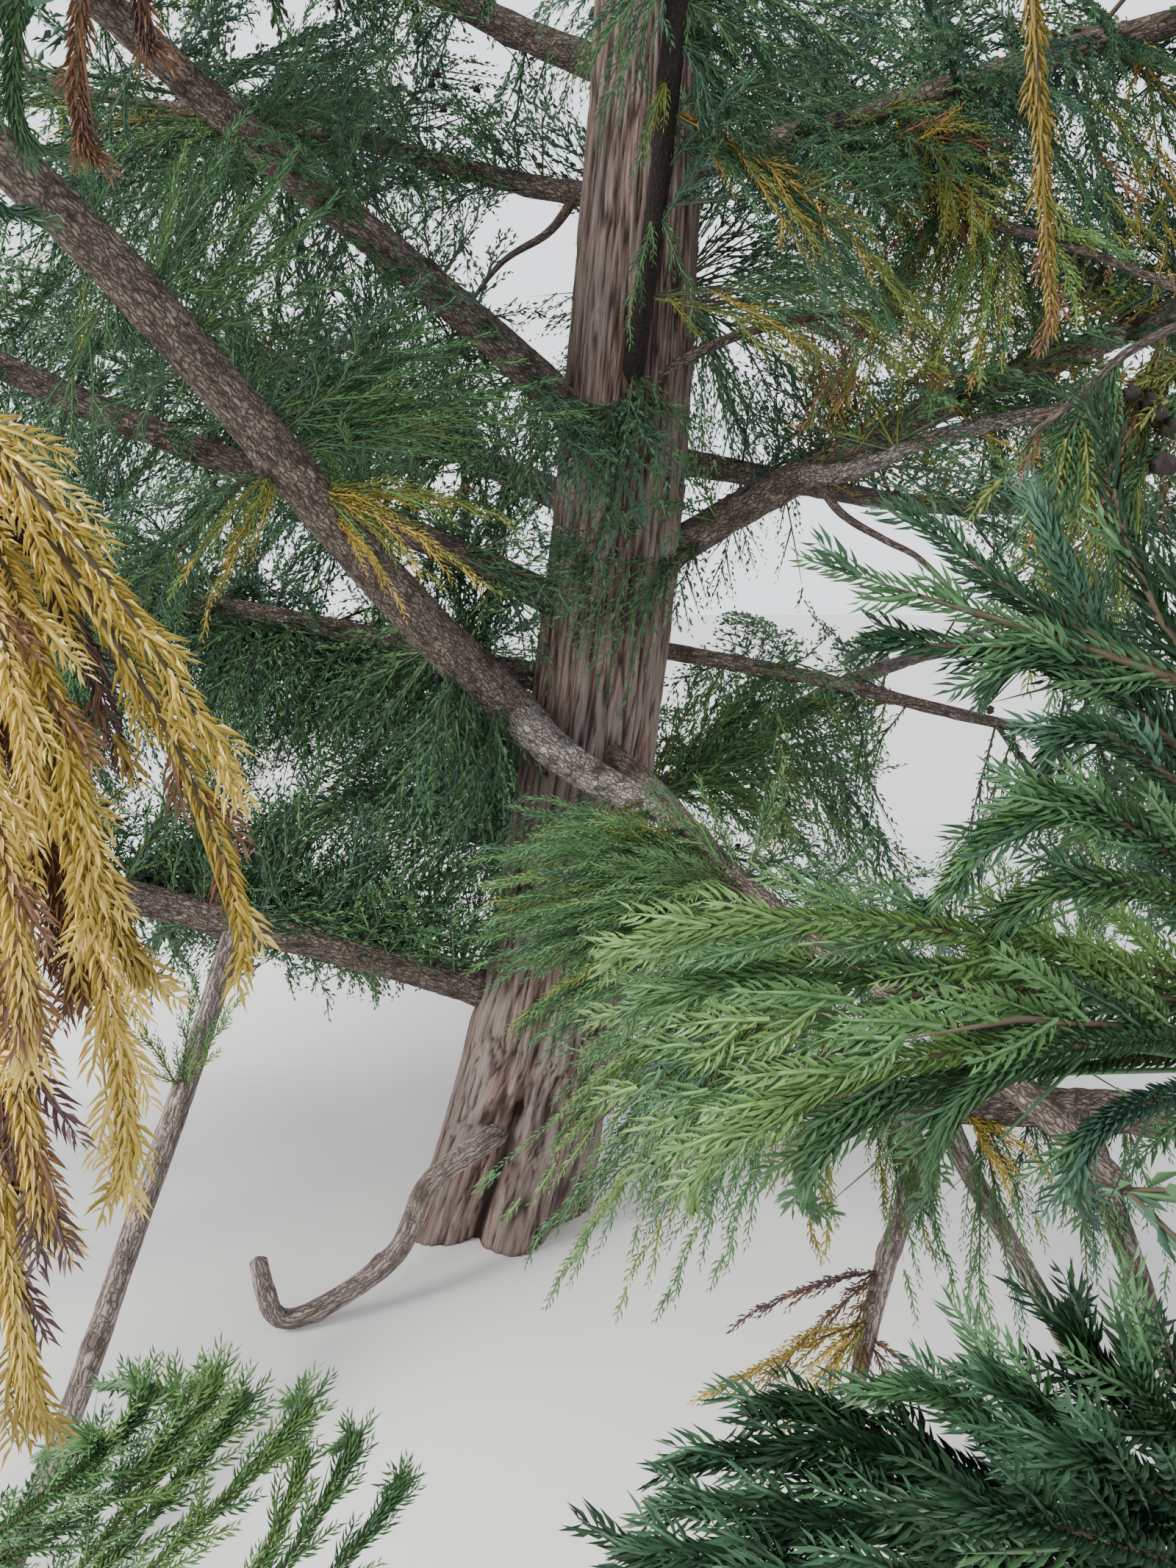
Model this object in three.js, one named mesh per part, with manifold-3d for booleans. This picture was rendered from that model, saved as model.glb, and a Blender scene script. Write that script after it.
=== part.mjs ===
// Japanese cedar: one whole tree, rooted in level ground.
// Lengths are millimetres and angles are degrees. +Z is up, and the origin is the centre of the
// flat cut under the trunk. A bearing turns round the trunk from +X towards +Y, and a rise is the
// angle above level. The open side of the crown, where one can stand and look in, faces -Y.

import * as THREE from 'three';
import { mergeVertices } from 'three/addons/utils/BufferGeometryUtils.js';
import Module from 'manifold-3d';

const wasm = await Module();
wasm.setup();

// Trunk
const TREE_HEIGHT = 11000;
const TRUNK_RADIUS = 174;
const TRUNK_TAPER = 1.2;
const TRUNK_TIP_RADIUS = 6;
const FLARE_RADIUS = 34;
const FLARE_HEIGHT = 600;
const ROOT_LOBES = 5;
const LOBE_DEPTH = 0.13;
const LOBE_HEIGHT = 320;
const LEAN_OFFSET = 450;
const LEAN_HEIGHT = 1600;
const TRUNK_SIDES = 15;
const TRUNK_RINGS = 20;
const RING_CROWDING = 1.7;

// Limbs
const COURSE_STEPS = 24;
const BOUGH_SIDES = 6;
const BOUGH_STEPS = 5;
const STEM_STEPS = 4;
const COLLAR_SWELL = 0.45;
const COLLAR_LENGTH = 130;
const STEM_TIP_RADIUS = 7;
const STEM_TAPER = 0.85;
const WAVE_ANGLE = 3;
const WAVE_COUNT = 2.2;
const TOUCH_GAP = 0.3;
const SMALLEST_EDGE = 0.05;

// Foliage: side twigs on each mass's stem, and toothed blades that each stand for a spray
const TWIG_SIDES = 3;
const TWIG_RADIUS = 13;
const TWIG_PITCH = 245;
const TWIG_ANGLE = 54;
const TWIG_ANGLE_SPREAD = 12;
const TWIG_ROLL_SPREAD = 46;
const TWIG_ROLL_MEAN = -22;
const TWIG_SAG = 14;
const TWIG_LENGTH_SHARE = 0.5;
const SPRAY_SINK = 24;
const SPRAY_HALF_WIDTH = 0.27;
const SPRAY_HALF_THICKNESS = 0.016;
const SPRAY_ANGLE = 50;
const SPRAY_TILT = 85;
const TIP_TILT = 50;
const SPRAY_LENGTH_SHARE = 0.3;
const FEWEST_SHOOTS = 3;
const FIRST_SHOOT = 0.12;
const SHOOT_SCATTER = 0.4;
const SPRAY_SIZES_TRIED = [1, 0.78, 0.6];
const SPRAY_SIZE_AT_FOOT = 1.08;
const SPRAY_SHRINK = 0.3;
const KNEE_SPRAY_SIZE = 0.8;
const SPRAY_SHORTEST = 620;
const SPRAY_LONGEST = 960;

// Clear space that the foliage keeps
const MASS_MARGIN = 26;
const LIMB_MARGIN = 26;
const GROUND_MARGIN = 60;
const LOOK_IN = {
  outer: new THREE.Vector3(260, -3400, 1500),
  inner: new THREE.Vector3(250, -700, 1350),
  radius: 340,
};

// The lower limbs. height is on the trunk's centre line, turn is added to the bearing along the
// limb, rise is at the trunk and tipRise at the far end, length is along the limb to the last
// leaf, bare is the stretch without foliage, and radius is at the trunk.
const LOWER_LIMBS = [
  { name: 'low_left', height: 530, bearing: -162, turn: -16, rise: 20, tipRise: 25,
    length: 3300, bare: 1150, radius: 47 },
  { name: 'low_right', height: 430, bearing: -44, turn: 5, rise: 10, tipRise: 18,
    length: 3300, bare: 1450, radius: 47 },
  { name: 'low_back', height: 760, bearing: 100, turn: 8, rise: 15, tipRise: 10,
    length: 3300, bare: 900, radius: 40 },
  { name: 'low_back_right', height: 980, bearing: 52, turn: -10, rise: 12, tipRise: 8,
    length: 3300, bare: 620, radius: 38 },
  { name: 'front_left', height: 1080, bearing: -133, turn: 2, rise: 43, tipRise: 13,
    length: 3500, bare: 1500, radius: 56 },
  { name: 'front_right', height: 1190, bearing: -73, turn: 8, rise: -10, tipRise: -12,
    length: 2400, bare: 820, radius: 25 },
  { name: 'back_left', height: 1320, bearing: 176, turn: 4, rise: 10, tipRise: 22,
    length: 3300, bare: 760, radius: 30 },
  { name: 'mid_left', height: 1460, bearing: -156, turn: 1, rise: 23, tipRise: 5,
    length: 3400, bare: 1250, radius: 34 },
  { name: 'right_slender', height: 1430, bearing: 7, turn: 8, rise: -12, tipRise: -6,
    length: 2500, bare: 1050, radius: 19 },
  { name: 'right', height: 1560, bearing: 6, turn: -8, rise: 27, tipRise: 4,
    length: 3400, bare: 1150, radius: 42 },
  { name: 'back', height: 1700, bearing: 132, turn: 4, rise: 22, tipRise: 10,
    length: 3300, bare: 760, radius: 36 },
  { name: 'behind_right', height: 1860, bearing: 34, turn: 2, rise: -3, tipRise: 12,
    length: 3200, bare: 760, radius: 30 },
  { name: 'upper_left', height: 1840, bearing: -155, turn: 8, rise: 36, tipRise: 28,
    length: 3300, bare: 1150, radius: 42 },
  { name: 'overhead', height: 1870, bearing: -84, turn: -6, rise: 44, tipRise: 20,
    length: 3200, bare: 1050, radius: 33 },
  { name: 'high_back', height: 2230, bearing: 78, turn: 6, rise: 12, tipRise: 14,
    length: 3200, bare: 700, radius: 34 },
  { name: 'small_left', height: 2400, bearing: 160, turn: -14, rise: 17, tipRise: 22,
    length: 2900, bare: 640, radius: 24 },
  { name: 'upper_right', height: 2450, bearing: -14, turn: -4, rise: 10, tipRise: 4,
    length: 3200, bare: 820, radius: 30 },
  { name: 'top_left', height: 2650, bearing: 164, turn: 24, rise: 26, tipRise: 14,
    length: 3000, bare: 800, radius: 33 },
];

// Limbs above those follow one rule: each is a golden turn on from the last, shorter and steeper.
const GOLDEN_TURN = 137.5;
const MIDDLE_LIMBS = { count: 4, lowest: 2980, highest: 4150, bearing: -62, bare: 620, radius: 33 };
const UPPER_LIMBS = { count: 11, lowest: 4500, highest: 10270, bearing: 128, radius: 27 };
const CROWN_REACH = 3150;
const CROWN_SHOULDER = 2000;
const CROWN_CURVE = 0.74;
const SHORTEST_UPPER_LIMB = 980;
const RISE_LOW = 28;
const RISE_HIGH = 52;
const RISE_FALL = 26;
const LIMB_TO_TRUNK = 0.42;
const UPPER_THINNING = 0.35;
const HEIGHT_CROWDING = 0.94;

// Dead wood near the foot
const STUB_ROOT = new THREE.Vector3(40, -90, 262);
const STUB_SHOULDER = new THREE.Vector3(-20, -250, 282);
const STUB_BEND = new THREE.Vector3(-126, -345, 235);
const STUB_LOW = new THREE.Vector3(-190, -410, 110);
const STUB_GROUND = new THREE.Vector3(-340, -490, 36);
const STUB_HEEL = new THREE.Vector3(-425, -520, 40);
const STUB_END = new THREE.Vector3(-450, -542, 182);
const STUB_RADIUS = 26;
const STUB_THINNING = 0.07;
const HANGING_LIMB = { from: 'low_left', distance: 770, bearing: -97, turn: 6, rise: -41,
  tipRise: -21, length: 1370, radius: 25, tipRadius: 19 };

const MASS_SEED = 4100;

// Bark and foliage finishes
const TRUNK_BARK = { color: 0x8a5f4c, roughness: 0.92, metalness: 0 };
const BOUGH_BARK = { color: 0x54423a, roughness: 0.9, metalness: 0 };
const DEAD_WOOD = { color: 0xa08c79, roughness: 0.85, metalness: 0 };
const FOLIAGE = { color: 0x2f5a3c, roughness: 0.62, metalness: 0 };

const UP = new THREE.Vector3(0, 0, 1);

// The same seed always gives the same run of numbers between 0 and 1.
function seededRandom(seed) {
  let state = seed >>> 0;
  return () => {
    state = (Math.imul(state, 1664525) + 1013904223) >>> 0;
    return state / 4294967296;
  };
}

function heading(bearing, rise) {
  const round = THREE.MathUtils.degToRad(bearing);
  const up = THREE.MathUtils.degToRad(rise);
  const level = Math.cos(up);
  return new THREE.Vector3(Math.cos(round) * level, Math.sin(round) * level, Math.sin(up));
}

// The trunk leans towards +X at its foot and straightens as it climbs.
function trunkCentre(height) {
  return new THREE.Vector3(LEAN_OFFSET * (1 - Math.exp(-height / LEAN_HEIGHT)), 0, height);
}

function trunkRadius(height) {
  const left = 1 - height / TREE_HEIGHT;
  const flare = FLARE_RADIUS * Math.exp(-height / FLARE_HEIGHT);
  return TRUNK_RADIUS * left ** TRUNK_TAPER + flare + TRUNK_TIP_RADIUS * (1 - left);
}

// Rings crowd towards the foot, where the flare changes fastest.
function trunkGeometry(extra) {
  const cylinder = new THREE.CylinderGeometry(1, 1, TRUNK_RINGS, TRUNK_SIDES, TRUNK_RINGS);
  const position = cylinder.attributes.position;
  for (let i = 0; i < position.count; i++) {
    const share = position.getY(i) / TRUNK_RINGS + 0.5;
    const height = TREE_HEIGHT * share ** RING_CROWDING;
    const centre = trunkCentre(height);
    const angle = Math.atan2(-position.getZ(i), position.getX(i));
    const lobes = 1 + LOBE_DEPTH * Math.exp(-height / LOBE_HEIGHT) * Math.cos(ROOT_LOBES * angle);
    const scale = trunkRadius(height) * lobes + extra;
    position.setXYZ(i, centre.x + position.getX(i) * scale, -position.getZ(i) * scale, height);
  }
  return cylinder;
}

// A limb's centre line, as equal steps whose bearing and rise change smoothly along it.
function limbCourse(limb) {
  const points = [limb.start ?? trunkCentre(limb.height)];
  const step = limb.length / COURSE_STEPS;
  for (let i = 0; i < COURSE_STEPS; i++) {
    const t = (i + 0.5) / COURSE_STEPS;
    const wave = WAVE_ANGLE * Math.sin(2 * Math.PI * (WAVE_COUNT * t + limb.bearing / 90));
    const bearing = limb.bearing + limb.turn * t + wave;
    const rise = limb.rise + (limb.tipRise - limb.rise) * t * t + wave;
    points.push(heading(bearing, rise).multiplyScalar(step).add(points.at(-1)));
  }
  return points;
}

function pointAlong(limb, distance) {
  const place = THREE.MathUtils.clamp(distance / limb.length, 0, 1) * COURSE_STEPS;
  const before = Math.min(Math.floor(place), COURSE_STEPS - 1);
  return limb.course[before].clone().lerp(limb.course[before + 1], place - before);
}

function directionAlong(limb, distance) {
  const reach = limb.length / COURSE_STEPS;
  return pointAlong(limb, distance + reach).sub(pointAlong(limb, distance - reach)).normalize();
}

function limbRadius(limb, distance) {
  const left = 1 - distance / limb.length;
  const collar = 1 + COLLAR_SWELL * Math.exp(-distance / COLLAR_LENGTH);
  const tip = limb.tipRadius ?? STEM_TIP_RADIUS;
  return (limb.radius - tip) * left ** STEM_TAPER * collar + tip;
}

// Two directions square to a limb's own: one level, and one above it.
function crossFrame(direction) {
  const side = new THREE.Vector3().crossVectors(direction, UP);
  if (side.length() < 0.05) side.set(1, 0, 0);
  side.normalize();
  return { side, above: new THREE.Vector3().crossVectors(side, direction).normalize() };
}

// A round limb: a cylinder drawn along the points, square to the direction at each, with its
// own radius there.
function roundLimb(points, directions, radii, sides, extra = 0) {
  const steps = points.length - 1;
  const frames = directions.map(crossFrame);
  const cylinder = new THREE.CylinderGeometry(1, 1, steps, sides, steps);
  const position = cylinder.attributes.position;
  for (let i = 0; i < position.count; i++) {
    const step = Math.round(position.getY(i) + steps / 2);
    const radius = radii[step] + extra;
    const place = points[step].clone();
    place.addScaledVector(frames[step].side, position.getX(i) * radius);
    place.addScaledVector(frames[step].above, position.getZ(i) * radius);
    position.setXYZ(i, place.x, place.y, place.z);
  }
  return cylinder;
}

function stretchOfLimb(limb, from, to, steps, sides, extra) {
  const distances = Array.from({ length: steps + 1 }, (_, i) => from + ((to - from) * i) / steps);
  const points = distances.map((distance) => pointAlong(limb, distance));
  const directions = distances.map((distance) => directionAlong(limb, distance));
  const radii = distances.map((distance) => limbRadius(limb, distance));
  return roundLimb(points, directions, radii, sides, extra);
}

// The direction of a bent line at each of its points
function lineDirections(points) {
  return points.map((point, i) => {
    const ahead = points[Math.min(i + 1, points.length - 1)].clone();
    return ahead.sub(points[Math.max(i - 1, 0)]).normalize();
  });
}

// Solids: joining, cutting, and back to geometry
function toSolid(geometry) {
  const bare = geometry.clone();
  for (const extra of ['normal', 'uv']) bare.deleteAttribute(extra);
  const merged = mergeVertices(bare, 0.001);
  const vertProperties = new Float32Array(merged.attributes.position.array);
  const triVerts = new Uint32Array(merged.index.array);
  return new wasm.Manifold(new wasm.Mesh({ numProp: 3, vertProperties, triVerts }));
}

// Keeping only the largest outer skin drops loose scraps and fills any sealed hollow.
function largestBody(solid) {
  const bodies = solid.decompose();
  return bodies.reduce((best, body) => (body.volume() > best.volume() ? body : best));
}

function meshGeometry(solid) {
  const mesh = solid.getMesh();
  const geometry = new THREE.BufferGeometry();
  geometry.setAttribute('position', new THREE.BufferAttribute(mesh.vertProperties, mesh.numProp));
  geometry.setIndex(new THREE.BufferAttribute(mesh.triVerts, 1));
  return geometry;
}

// Edges shorter than the smallest one are closed up, because they are only where skins crossed.
function finishedGeometry(solid) {
  const tidied = toSolid(meshGeometry(largestBody(solid.simplify(SMALLEST_EDGE))));
  const geometry = meshGeometry(largestBody(tidied));
  geometry.computeVertexNormals();
  return geometry;
}

function addMesh(tree, name, solid, finish) {
  const material = new THREE.MeshStandardMaterial({ ...finish, flatShading: true });
  const mesh = new THREE.Mesh(finishedGeometry(solid), material);
  mesh.name = name;
  tree.add(mesh);
}

// The widest reach of the crown at a height, from the trunk to the last leaf
function crownReach(height) {
  const left = (TREE_HEIGHT - height) / (TREE_HEIGHT - CROWN_SHOULDER);
  return CROWN_REACH * Math.min(left, 1) ** CROWN_CURVE;
}

function ruledLimb(group, index, name) {
  const share = index / (group.count - 1);
  const height = group.lowest + (group.highest - group.lowest) * share ** HEIGHT_CROWDING;
  const climb = (height - CROWN_SHOULDER) / (TREE_HEIGHT - CROWN_SHOULDER);
  const rise = RISE_LOW + (RISE_HIGH - RISE_LOW) * climb;
  const length = Math.max(crownReach(height), SHORTEST_UPPER_LIMB);
  return {
    name: `${name}_${index + 1}`,
    height,
    bearing: group.bearing + GOLDEN_TURN * index,
    turn: 6,
    rise,
    tipRise: rise - RISE_FALL,
    length,
    bare: group.bare ?? 0,
    radius: Math.min(group.radius, trunkRadius(height) * LIMB_TO_TRUNK) * (1 - UPPER_THINNING * share),
  };
}

function allLimbs() {
  const limbs = LOWER_LIMBS.map((limb) => ({ ...limb }));
  for (let i = 0; i < MIDDLE_LIMBS.count; i++) limbs.push(ruledLimb(MIDDLE_LIMBS, i, 'middle'));
  for (let i = 0; i < UPPER_LIMBS.count; i++) limbs.push(ruledLimb(UPPER_LIMBS, i, 'upper'));
  for (const limb of limbs) {
    limb.course = limbCourse(limb);
    limb.sprayLength = THREE.MathUtils.clamp(
      limb.length * SPRAY_LENGTH_SHARE, SPRAY_SHORTEST, SPRAY_LONGEST);
    limb.stemEnd = limb.length - limb.sprayLength + SPRAY_SINK;
  }
  return limbs;
}

// How far a point is from a limb's centre line between two distances along it
function distanceToLimb(point, limb, from, to) {
  const segment = new THREE.Line3();
  const nearest = new THREE.Vector3();
  let best = Infinity;
  for (let i = 0; i < COURSE_STEPS; i++) {
    const starts = (i * limb.length) / COURSE_STEPS;
    const ends = ((i + 1) * limb.length) / COURSE_STEPS;
    if (ends <= from || starts >= to) continue;
    segment.set(limb.course[i], limb.course[i + 1]);
    segment.closestPointToPoint(point, true, nearest);
    best = Math.min(best, nearest.distanceTo(point));
  }
  return best;
}

// A point belongs to a mass when it is nearer that mass's stem than any other, and clear of
// the trunk, every bough, the dead wood, the ground and the open space in the crown.
function isFree(point, own, limbs, obstacles) {
  if (point.z < GROUND_MARGIN) return false;
  const height = Math.min(point.z, TREE_HEIGHT);
  if (point.distanceTo(trunkCentre(height)) < trunkRadius(height) + LIMB_MARGIN) return false;
  const lookIn = new THREE.Line3(LOOK_IN.outer, LOOK_IN.inner);
  const nearest = lookIn.closestPointToPoint(point, true, new THREE.Vector3());
  if (nearest.distanceTo(point) < LOOK_IN.radius) return false;
  for (const obstacle of obstacles) {
    const away = obstacle.closestPointToPoint(point, true, nearest).distanceTo(point);
    if (away < HANGING_LIMB.radius + LIMB_MARGIN) return false;
  }
  const ownDistance = distanceToLimb(point, own, own.bare, own.length);
  for (const limb of limbs) {
    if (limb.bare > 0) {
      const clear = limbRadius(limb, 0) + LIMB_MARGIN;
      if (distanceToLimb(point, limb, 0, limb.bare) < clear) return false;
    }
    if (limb === own) continue;
    if (distanceToLimb(point, limb, limb.bare, limb.length) < ownDistance + MASS_MARGIN) {
      return false;
    }
  }
  return true;
}

// A spray's outline in its own plane, as shares of its length and half width: a narrow root,
// two teeth on each side and a point. The rim of a flat eight-sided bead is drawn out to it.
const SPRAY_OUTLINE = [
  [0, 0], [0.34, 0.85], [0.42, 0.42], [0.68, 0.62],
  [1, 0], [0.68, -0.62], [0.42, -0.42], [0.34, -0.85],
];
const SPRAY_CROWN = 0.4;

function sprayGeometry(spray) {
  const bead = new THREE.SphereGeometry(1, SPRAY_OUTLINE.length, 2);
  const position = bead.attributes.position;
  const across = spray.across;
  const normal = new THREE.Vector3().crossVectors(spray.direction, across);
  for (let i = 0; i < position.count; i++) {
    const pole = Math.round(position.getY(i));
    const angle = Math.atan2(position.getZ(i), position.getX(i));
    const turn = Math.round((angle / (2 * Math.PI)) * SPRAY_OUTLINE.length);
    const corner = SPRAY_OUTLINE[(turn + SPRAY_OUTLINE.length) % SPRAY_OUTLINE.length];
    const along = pole === 0 ? corner[0] : SPRAY_CROWN;
    const aside = pole === 0 ? corner[1] : 0;
    const place = spray.root.clone();
    place.addScaledVector(spray.direction, along * spray.length);
    place.addScaledVector(across, aside * spray.halfWidth);
    place.addScaledVector(normal, pole * spray.length * SPRAY_HALF_THICKNESS);
    position.setXYZ(i, place.x, place.y, place.z);
  }
  return bead;
}

// Points all over a spray, for the test that it keeps to its mass's space
function sprayPoints(spray) {
  const points = [];
  for (let share = 0.2; share <= 1.001; share += 0.1) {
    const widest = share < 0.35 ? share / 0.35 : (1 - share) / 0.65;
    for (const aside of [-0.85, 0, 0.85]) {
      const point = spray.root.clone().addScaledVector(spray.direction, share * spray.length);
      points.push(point.addScaledVector(spray.across, aside * widest * spray.halfWidth));
    }
  }
  return points;
}

// A spray lies along its direction, with its width square to that and its root sunk in.
function makeSpray(place, direction, across, length) {
  const root = place.clone().addScaledVector(direction, -SPRAY_SINK);
  const square = across.clone().addScaledVector(direction, -across.dot(direction)).normalize();
  return { root, direction, across: square, length, halfWidth: length * SPRAY_HALF_WIDTH };
}

// A side twig: two straight steps, the second sagging below the first
function makeTwig(place, direction, length) {
  const knee = place.clone().addScaledVector(direction, length * 0.5);
  const sagged = direction.clone().applyAxisAngle(
    crossFrame(direction).side, -THREE.MathUtils.degToRad(TWIG_SAG));
  const end = knee.clone().addScaledVector(sagged, length * 0.5);
  return { points: [place, knee, end], directions: [direction, sagged] };
}

function twigGeometry(twig) {
  const radii = [TWIG_RADIUS, TWIG_RADIUS * 0.8, TWIG_RADIUS * 0.55];
  return roundLimb(twig.points, lineDirections(twig.points), radii, TWIG_SIDES);
}

// The direction of a shoot off a stem: to one hand, turned round the stem and leaned outward
function shootDirection(limb, distance, hand, random) {
  const forward = directionAlong(limb, distance);
  const { side, above } = crossFrame(forward);
  const roll = THREE.MathUtils.degToRad(TWIG_ROLL_SPREAD * (2 * random() - 1) + TWIG_ROLL_MEAN);
  const lean = THREE.MathUtils.degToRad(TWIG_ANGLE + TWIG_ANGLE_SPREAD * (2 * random() - 1));
  const outward = side.multiplyScalar(hand * Math.cos(roll)).addScaledVector(above, Math.sin(roll));
  return forward.multiplyScalar(Math.cos(lean)).addScaledVector(outward, Math.sin(lean)).normalize();
}

// One mass: its stem, then shoots to left and right by turns, in fours. Two are twigs with a
// spray at the end and one at the knee, and the next two are sprays on the stem itself.
function growMass(limb, index, limbs, obstacles) {
  const random = seededRandom(MASS_SEED + index);
  const start = limb.bare > 0 ? limb.bare + TOUCH_GAP : 0;
  const parts = [toSolid(stretchOfLimb(limb, start, limb.stemEnd, STEM_STEPS, TWIG_SIDES))];
  const room = (points) => points.every((point) => isFree(point, limb, limbs, obstacles));
  const addSpray = (place, direction, tilt, length) => {
    const across = crossFrame(direction).side.applyAxisAngle(direction, tilt);
    for (const share of SPRAY_SIZES_TRIED) {
      const spray = makeSpray(place, direction, across, length * share);
      if (!room(sprayPoints(spray))) continue;
      parts.push(toSolid(sprayGeometry(spray)));
      return;
    }
  };

  const first = start + FIRST_SHOOT * (limb.stemEnd - start);
  const count = Math.max(FEWEST_SHOOTS, Math.round((limb.stemEnd - first) / TWIG_PITCH));
  for (let i = 0; i < count; i++) {
    const share = (i + SHOOT_SCATTER * random()) / count;
    const distance = first + (limb.stemEnd - first) * share;
    const place = pointAlong(limb, distance);
    const hand = i % 2 === 0 ? 1 : -1;
    const direction = shootDirection(limb, distance, hand, random);
    const tilt = THREE.MathUtils.degToRad(SPRAY_TILT * (2 * random() - 1));
    const length = limb.sprayLength * (SPRAY_SIZE_AT_FOOT - SPRAY_SHRINK * share);
    const twig = makeTwig(place, direction, length * TWIG_LENGTH_SHARE);
    const isTwig = i % 4 < 2 && room(twig.points.slice(1));
    if (!isTwig) {
      addSpray(place, direction, tilt, length);
      continue;
    }
    parts.push(toSolid(twigGeometry(twig)));
    addSpray(twig.points[2], twig.directions[1], tilt, length);
    const aside = direction.clone().applyAxisAngle(
      UP, THREE.MathUtils.degToRad(-hand * SPRAY_ANGLE));
    addSpray(twig.points[1], aside, -tilt, length * KNEE_SPRAY_SIZE);
  }

  const tipDirection = directionAlong(limb, limb.stemEnd);
  const tipTilt = THREE.MathUtils.degToRad(TIP_TILT * (2 * random() - 1));
  addSpray(pointAlong(limb, limb.stemEnd), tipDirection, tipTilt, limb.sprayLength);
  return parts.reduce((joined, part) => joined.add(part));
}

// The crooked dead stub: out of the trunk, down to the ground, and an upturned broken end
function addCrookedStub(tree, trunkCutter) {
  const points = [STUB_ROOT, STUB_SHOULDER, STUB_BEND, STUB_LOW, STUB_GROUND, STUB_HEEL];
  const radii = points.map((point, i) => STUB_RADIUS * (1.25 - STUB_THINNING * i));
  const directions = lineDirections(points);
  const stub = toSolid(roundLimb(points, directions, radii, BOUGH_SIDES));
  addMesh(tree, 'crooked_stub', stub.subtract(trunkCutter), DEAD_WOOD);
  const heelCutter = toSolid(roundLimb(points, directions, radii, BOUGH_SIDES, TOUCH_GAP));
  const endPoints = [STUB_HEEL, STUB_END];
  const endRadii = [STUB_RADIUS * 0.85, STUB_RADIUS * 0.8];
  const end = toSolid(roundLimb(endPoints, lineDirections(endPoints), endRadii, BOUGH_SIDES));
  addMesh(tree, 'crooked_stub_end', end.subtract(heelCutter), DEAD_WOOD);
}

function hangingLimb(limbs) {
  const carrier = limbs.find((limb) => limb.name === HANGING_LIMB.from);
  const limb = { ...HANGING_LIMB, start: pointAlong(carrier, HANGING_LIMB.distance) };
  limb.course = limbCourse(limb);
  return { limb, carrier };
}

function buildTree() {
  const tree = new THREE.Group();
  const limbs = allLimbs();
  const trunk = toSolid(trunkGeometry(0));
  const trunkCutter = toSolid(trunkGeometry(TOUCH_GAP));
  addMesh(tree, 'trunk', trunk, TRUNK_BARK);

  for (const limb of limbs.filter((each) => each.bare > 0)) {
    const bough = toSolid(stretchOfLimb(limb, 0, limb.bare, BOUGH_STEPS, BOUGH_SIDES));
    addMesh(tree, `${limb.name}_bough`, bough.subtract(trunkCutter), BOUGH_BARK);
  }

  const { limb: dead, carrier } = hangingLimb(limbs);
  const deadWood = toSolid(stretchOfLimb(dead, 0, dead.length, BOUGH_STEPS, BOUGH_SIDES));
  const carrierCutter = toSolid(
    stretchOfLimb(carrier, 0, carrier.bare, BOUGH_STEPS, BOUGH_SIDES, TOUCH_GAP));
  addMesh(tree, 'hanging_dead_limb', deadWood.subtract(carrierCutter), DEAD_WOOD);
  addCrookedStub(tree, trunkCutter);

  const obstacles = dead.course.slice(1).map((point, i) => new THREE.Line3(dead.course[i], point));
  limbs.forEach((limb, index) => {
    const mass = growMass(limb, index, limbs, obstacles);
    addMesh(tree, `${limb.name}_foliage`, mass.subtract(trunkCutter), FOLIAGE);
  });
  return tree;
}

const tree = buildTree();

export default tree;
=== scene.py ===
"""The looks of a Japanese cedar: bark, boughs, side branches, twigs, needles and cones.

Lengths are metres. The limbs, twigs and sprays follow the same named values and the same seeded
rule as the part's solids, and go on from them to finer growth within the same reach.
A bearing turns round the trunk from +X towards +Y, and a rise is the angle above level.
"""

import functools
import math

import bmesh
import bpy
import numpy as np
from bpy.props import FloatProperty, FloatVectorProperty, IntProperty, PointerProperty
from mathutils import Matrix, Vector, noise


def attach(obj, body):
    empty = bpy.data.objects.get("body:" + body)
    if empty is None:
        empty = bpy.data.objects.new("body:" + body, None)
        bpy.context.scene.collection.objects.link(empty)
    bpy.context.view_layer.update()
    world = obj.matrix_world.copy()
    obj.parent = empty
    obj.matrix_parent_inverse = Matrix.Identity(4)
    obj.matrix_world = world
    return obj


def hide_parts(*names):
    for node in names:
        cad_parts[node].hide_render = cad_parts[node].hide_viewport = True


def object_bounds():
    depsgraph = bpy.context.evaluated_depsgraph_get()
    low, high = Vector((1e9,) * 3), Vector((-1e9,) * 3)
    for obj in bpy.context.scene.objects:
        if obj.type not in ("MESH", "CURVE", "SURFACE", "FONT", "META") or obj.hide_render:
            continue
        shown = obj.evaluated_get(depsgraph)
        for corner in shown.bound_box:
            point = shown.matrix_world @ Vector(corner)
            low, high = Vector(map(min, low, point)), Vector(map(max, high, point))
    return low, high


bl_info = {
    "name": "Japanese Cedar Tree",
    "version": (1, 0, 0),
    "blender": (4, 5, 0),
    "location": "View3D > Sidebar > Cedar",
    "description": "Builds the bark, boughs, twigs, needles and cones of one cedar",
    "category": "Add Mesh",
}

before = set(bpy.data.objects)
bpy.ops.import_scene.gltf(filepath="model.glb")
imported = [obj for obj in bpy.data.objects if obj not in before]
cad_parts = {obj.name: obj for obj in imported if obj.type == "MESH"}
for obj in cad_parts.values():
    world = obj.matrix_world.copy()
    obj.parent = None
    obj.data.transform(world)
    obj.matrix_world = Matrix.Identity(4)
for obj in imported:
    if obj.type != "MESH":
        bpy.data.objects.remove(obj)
CAD_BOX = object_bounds()

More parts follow.
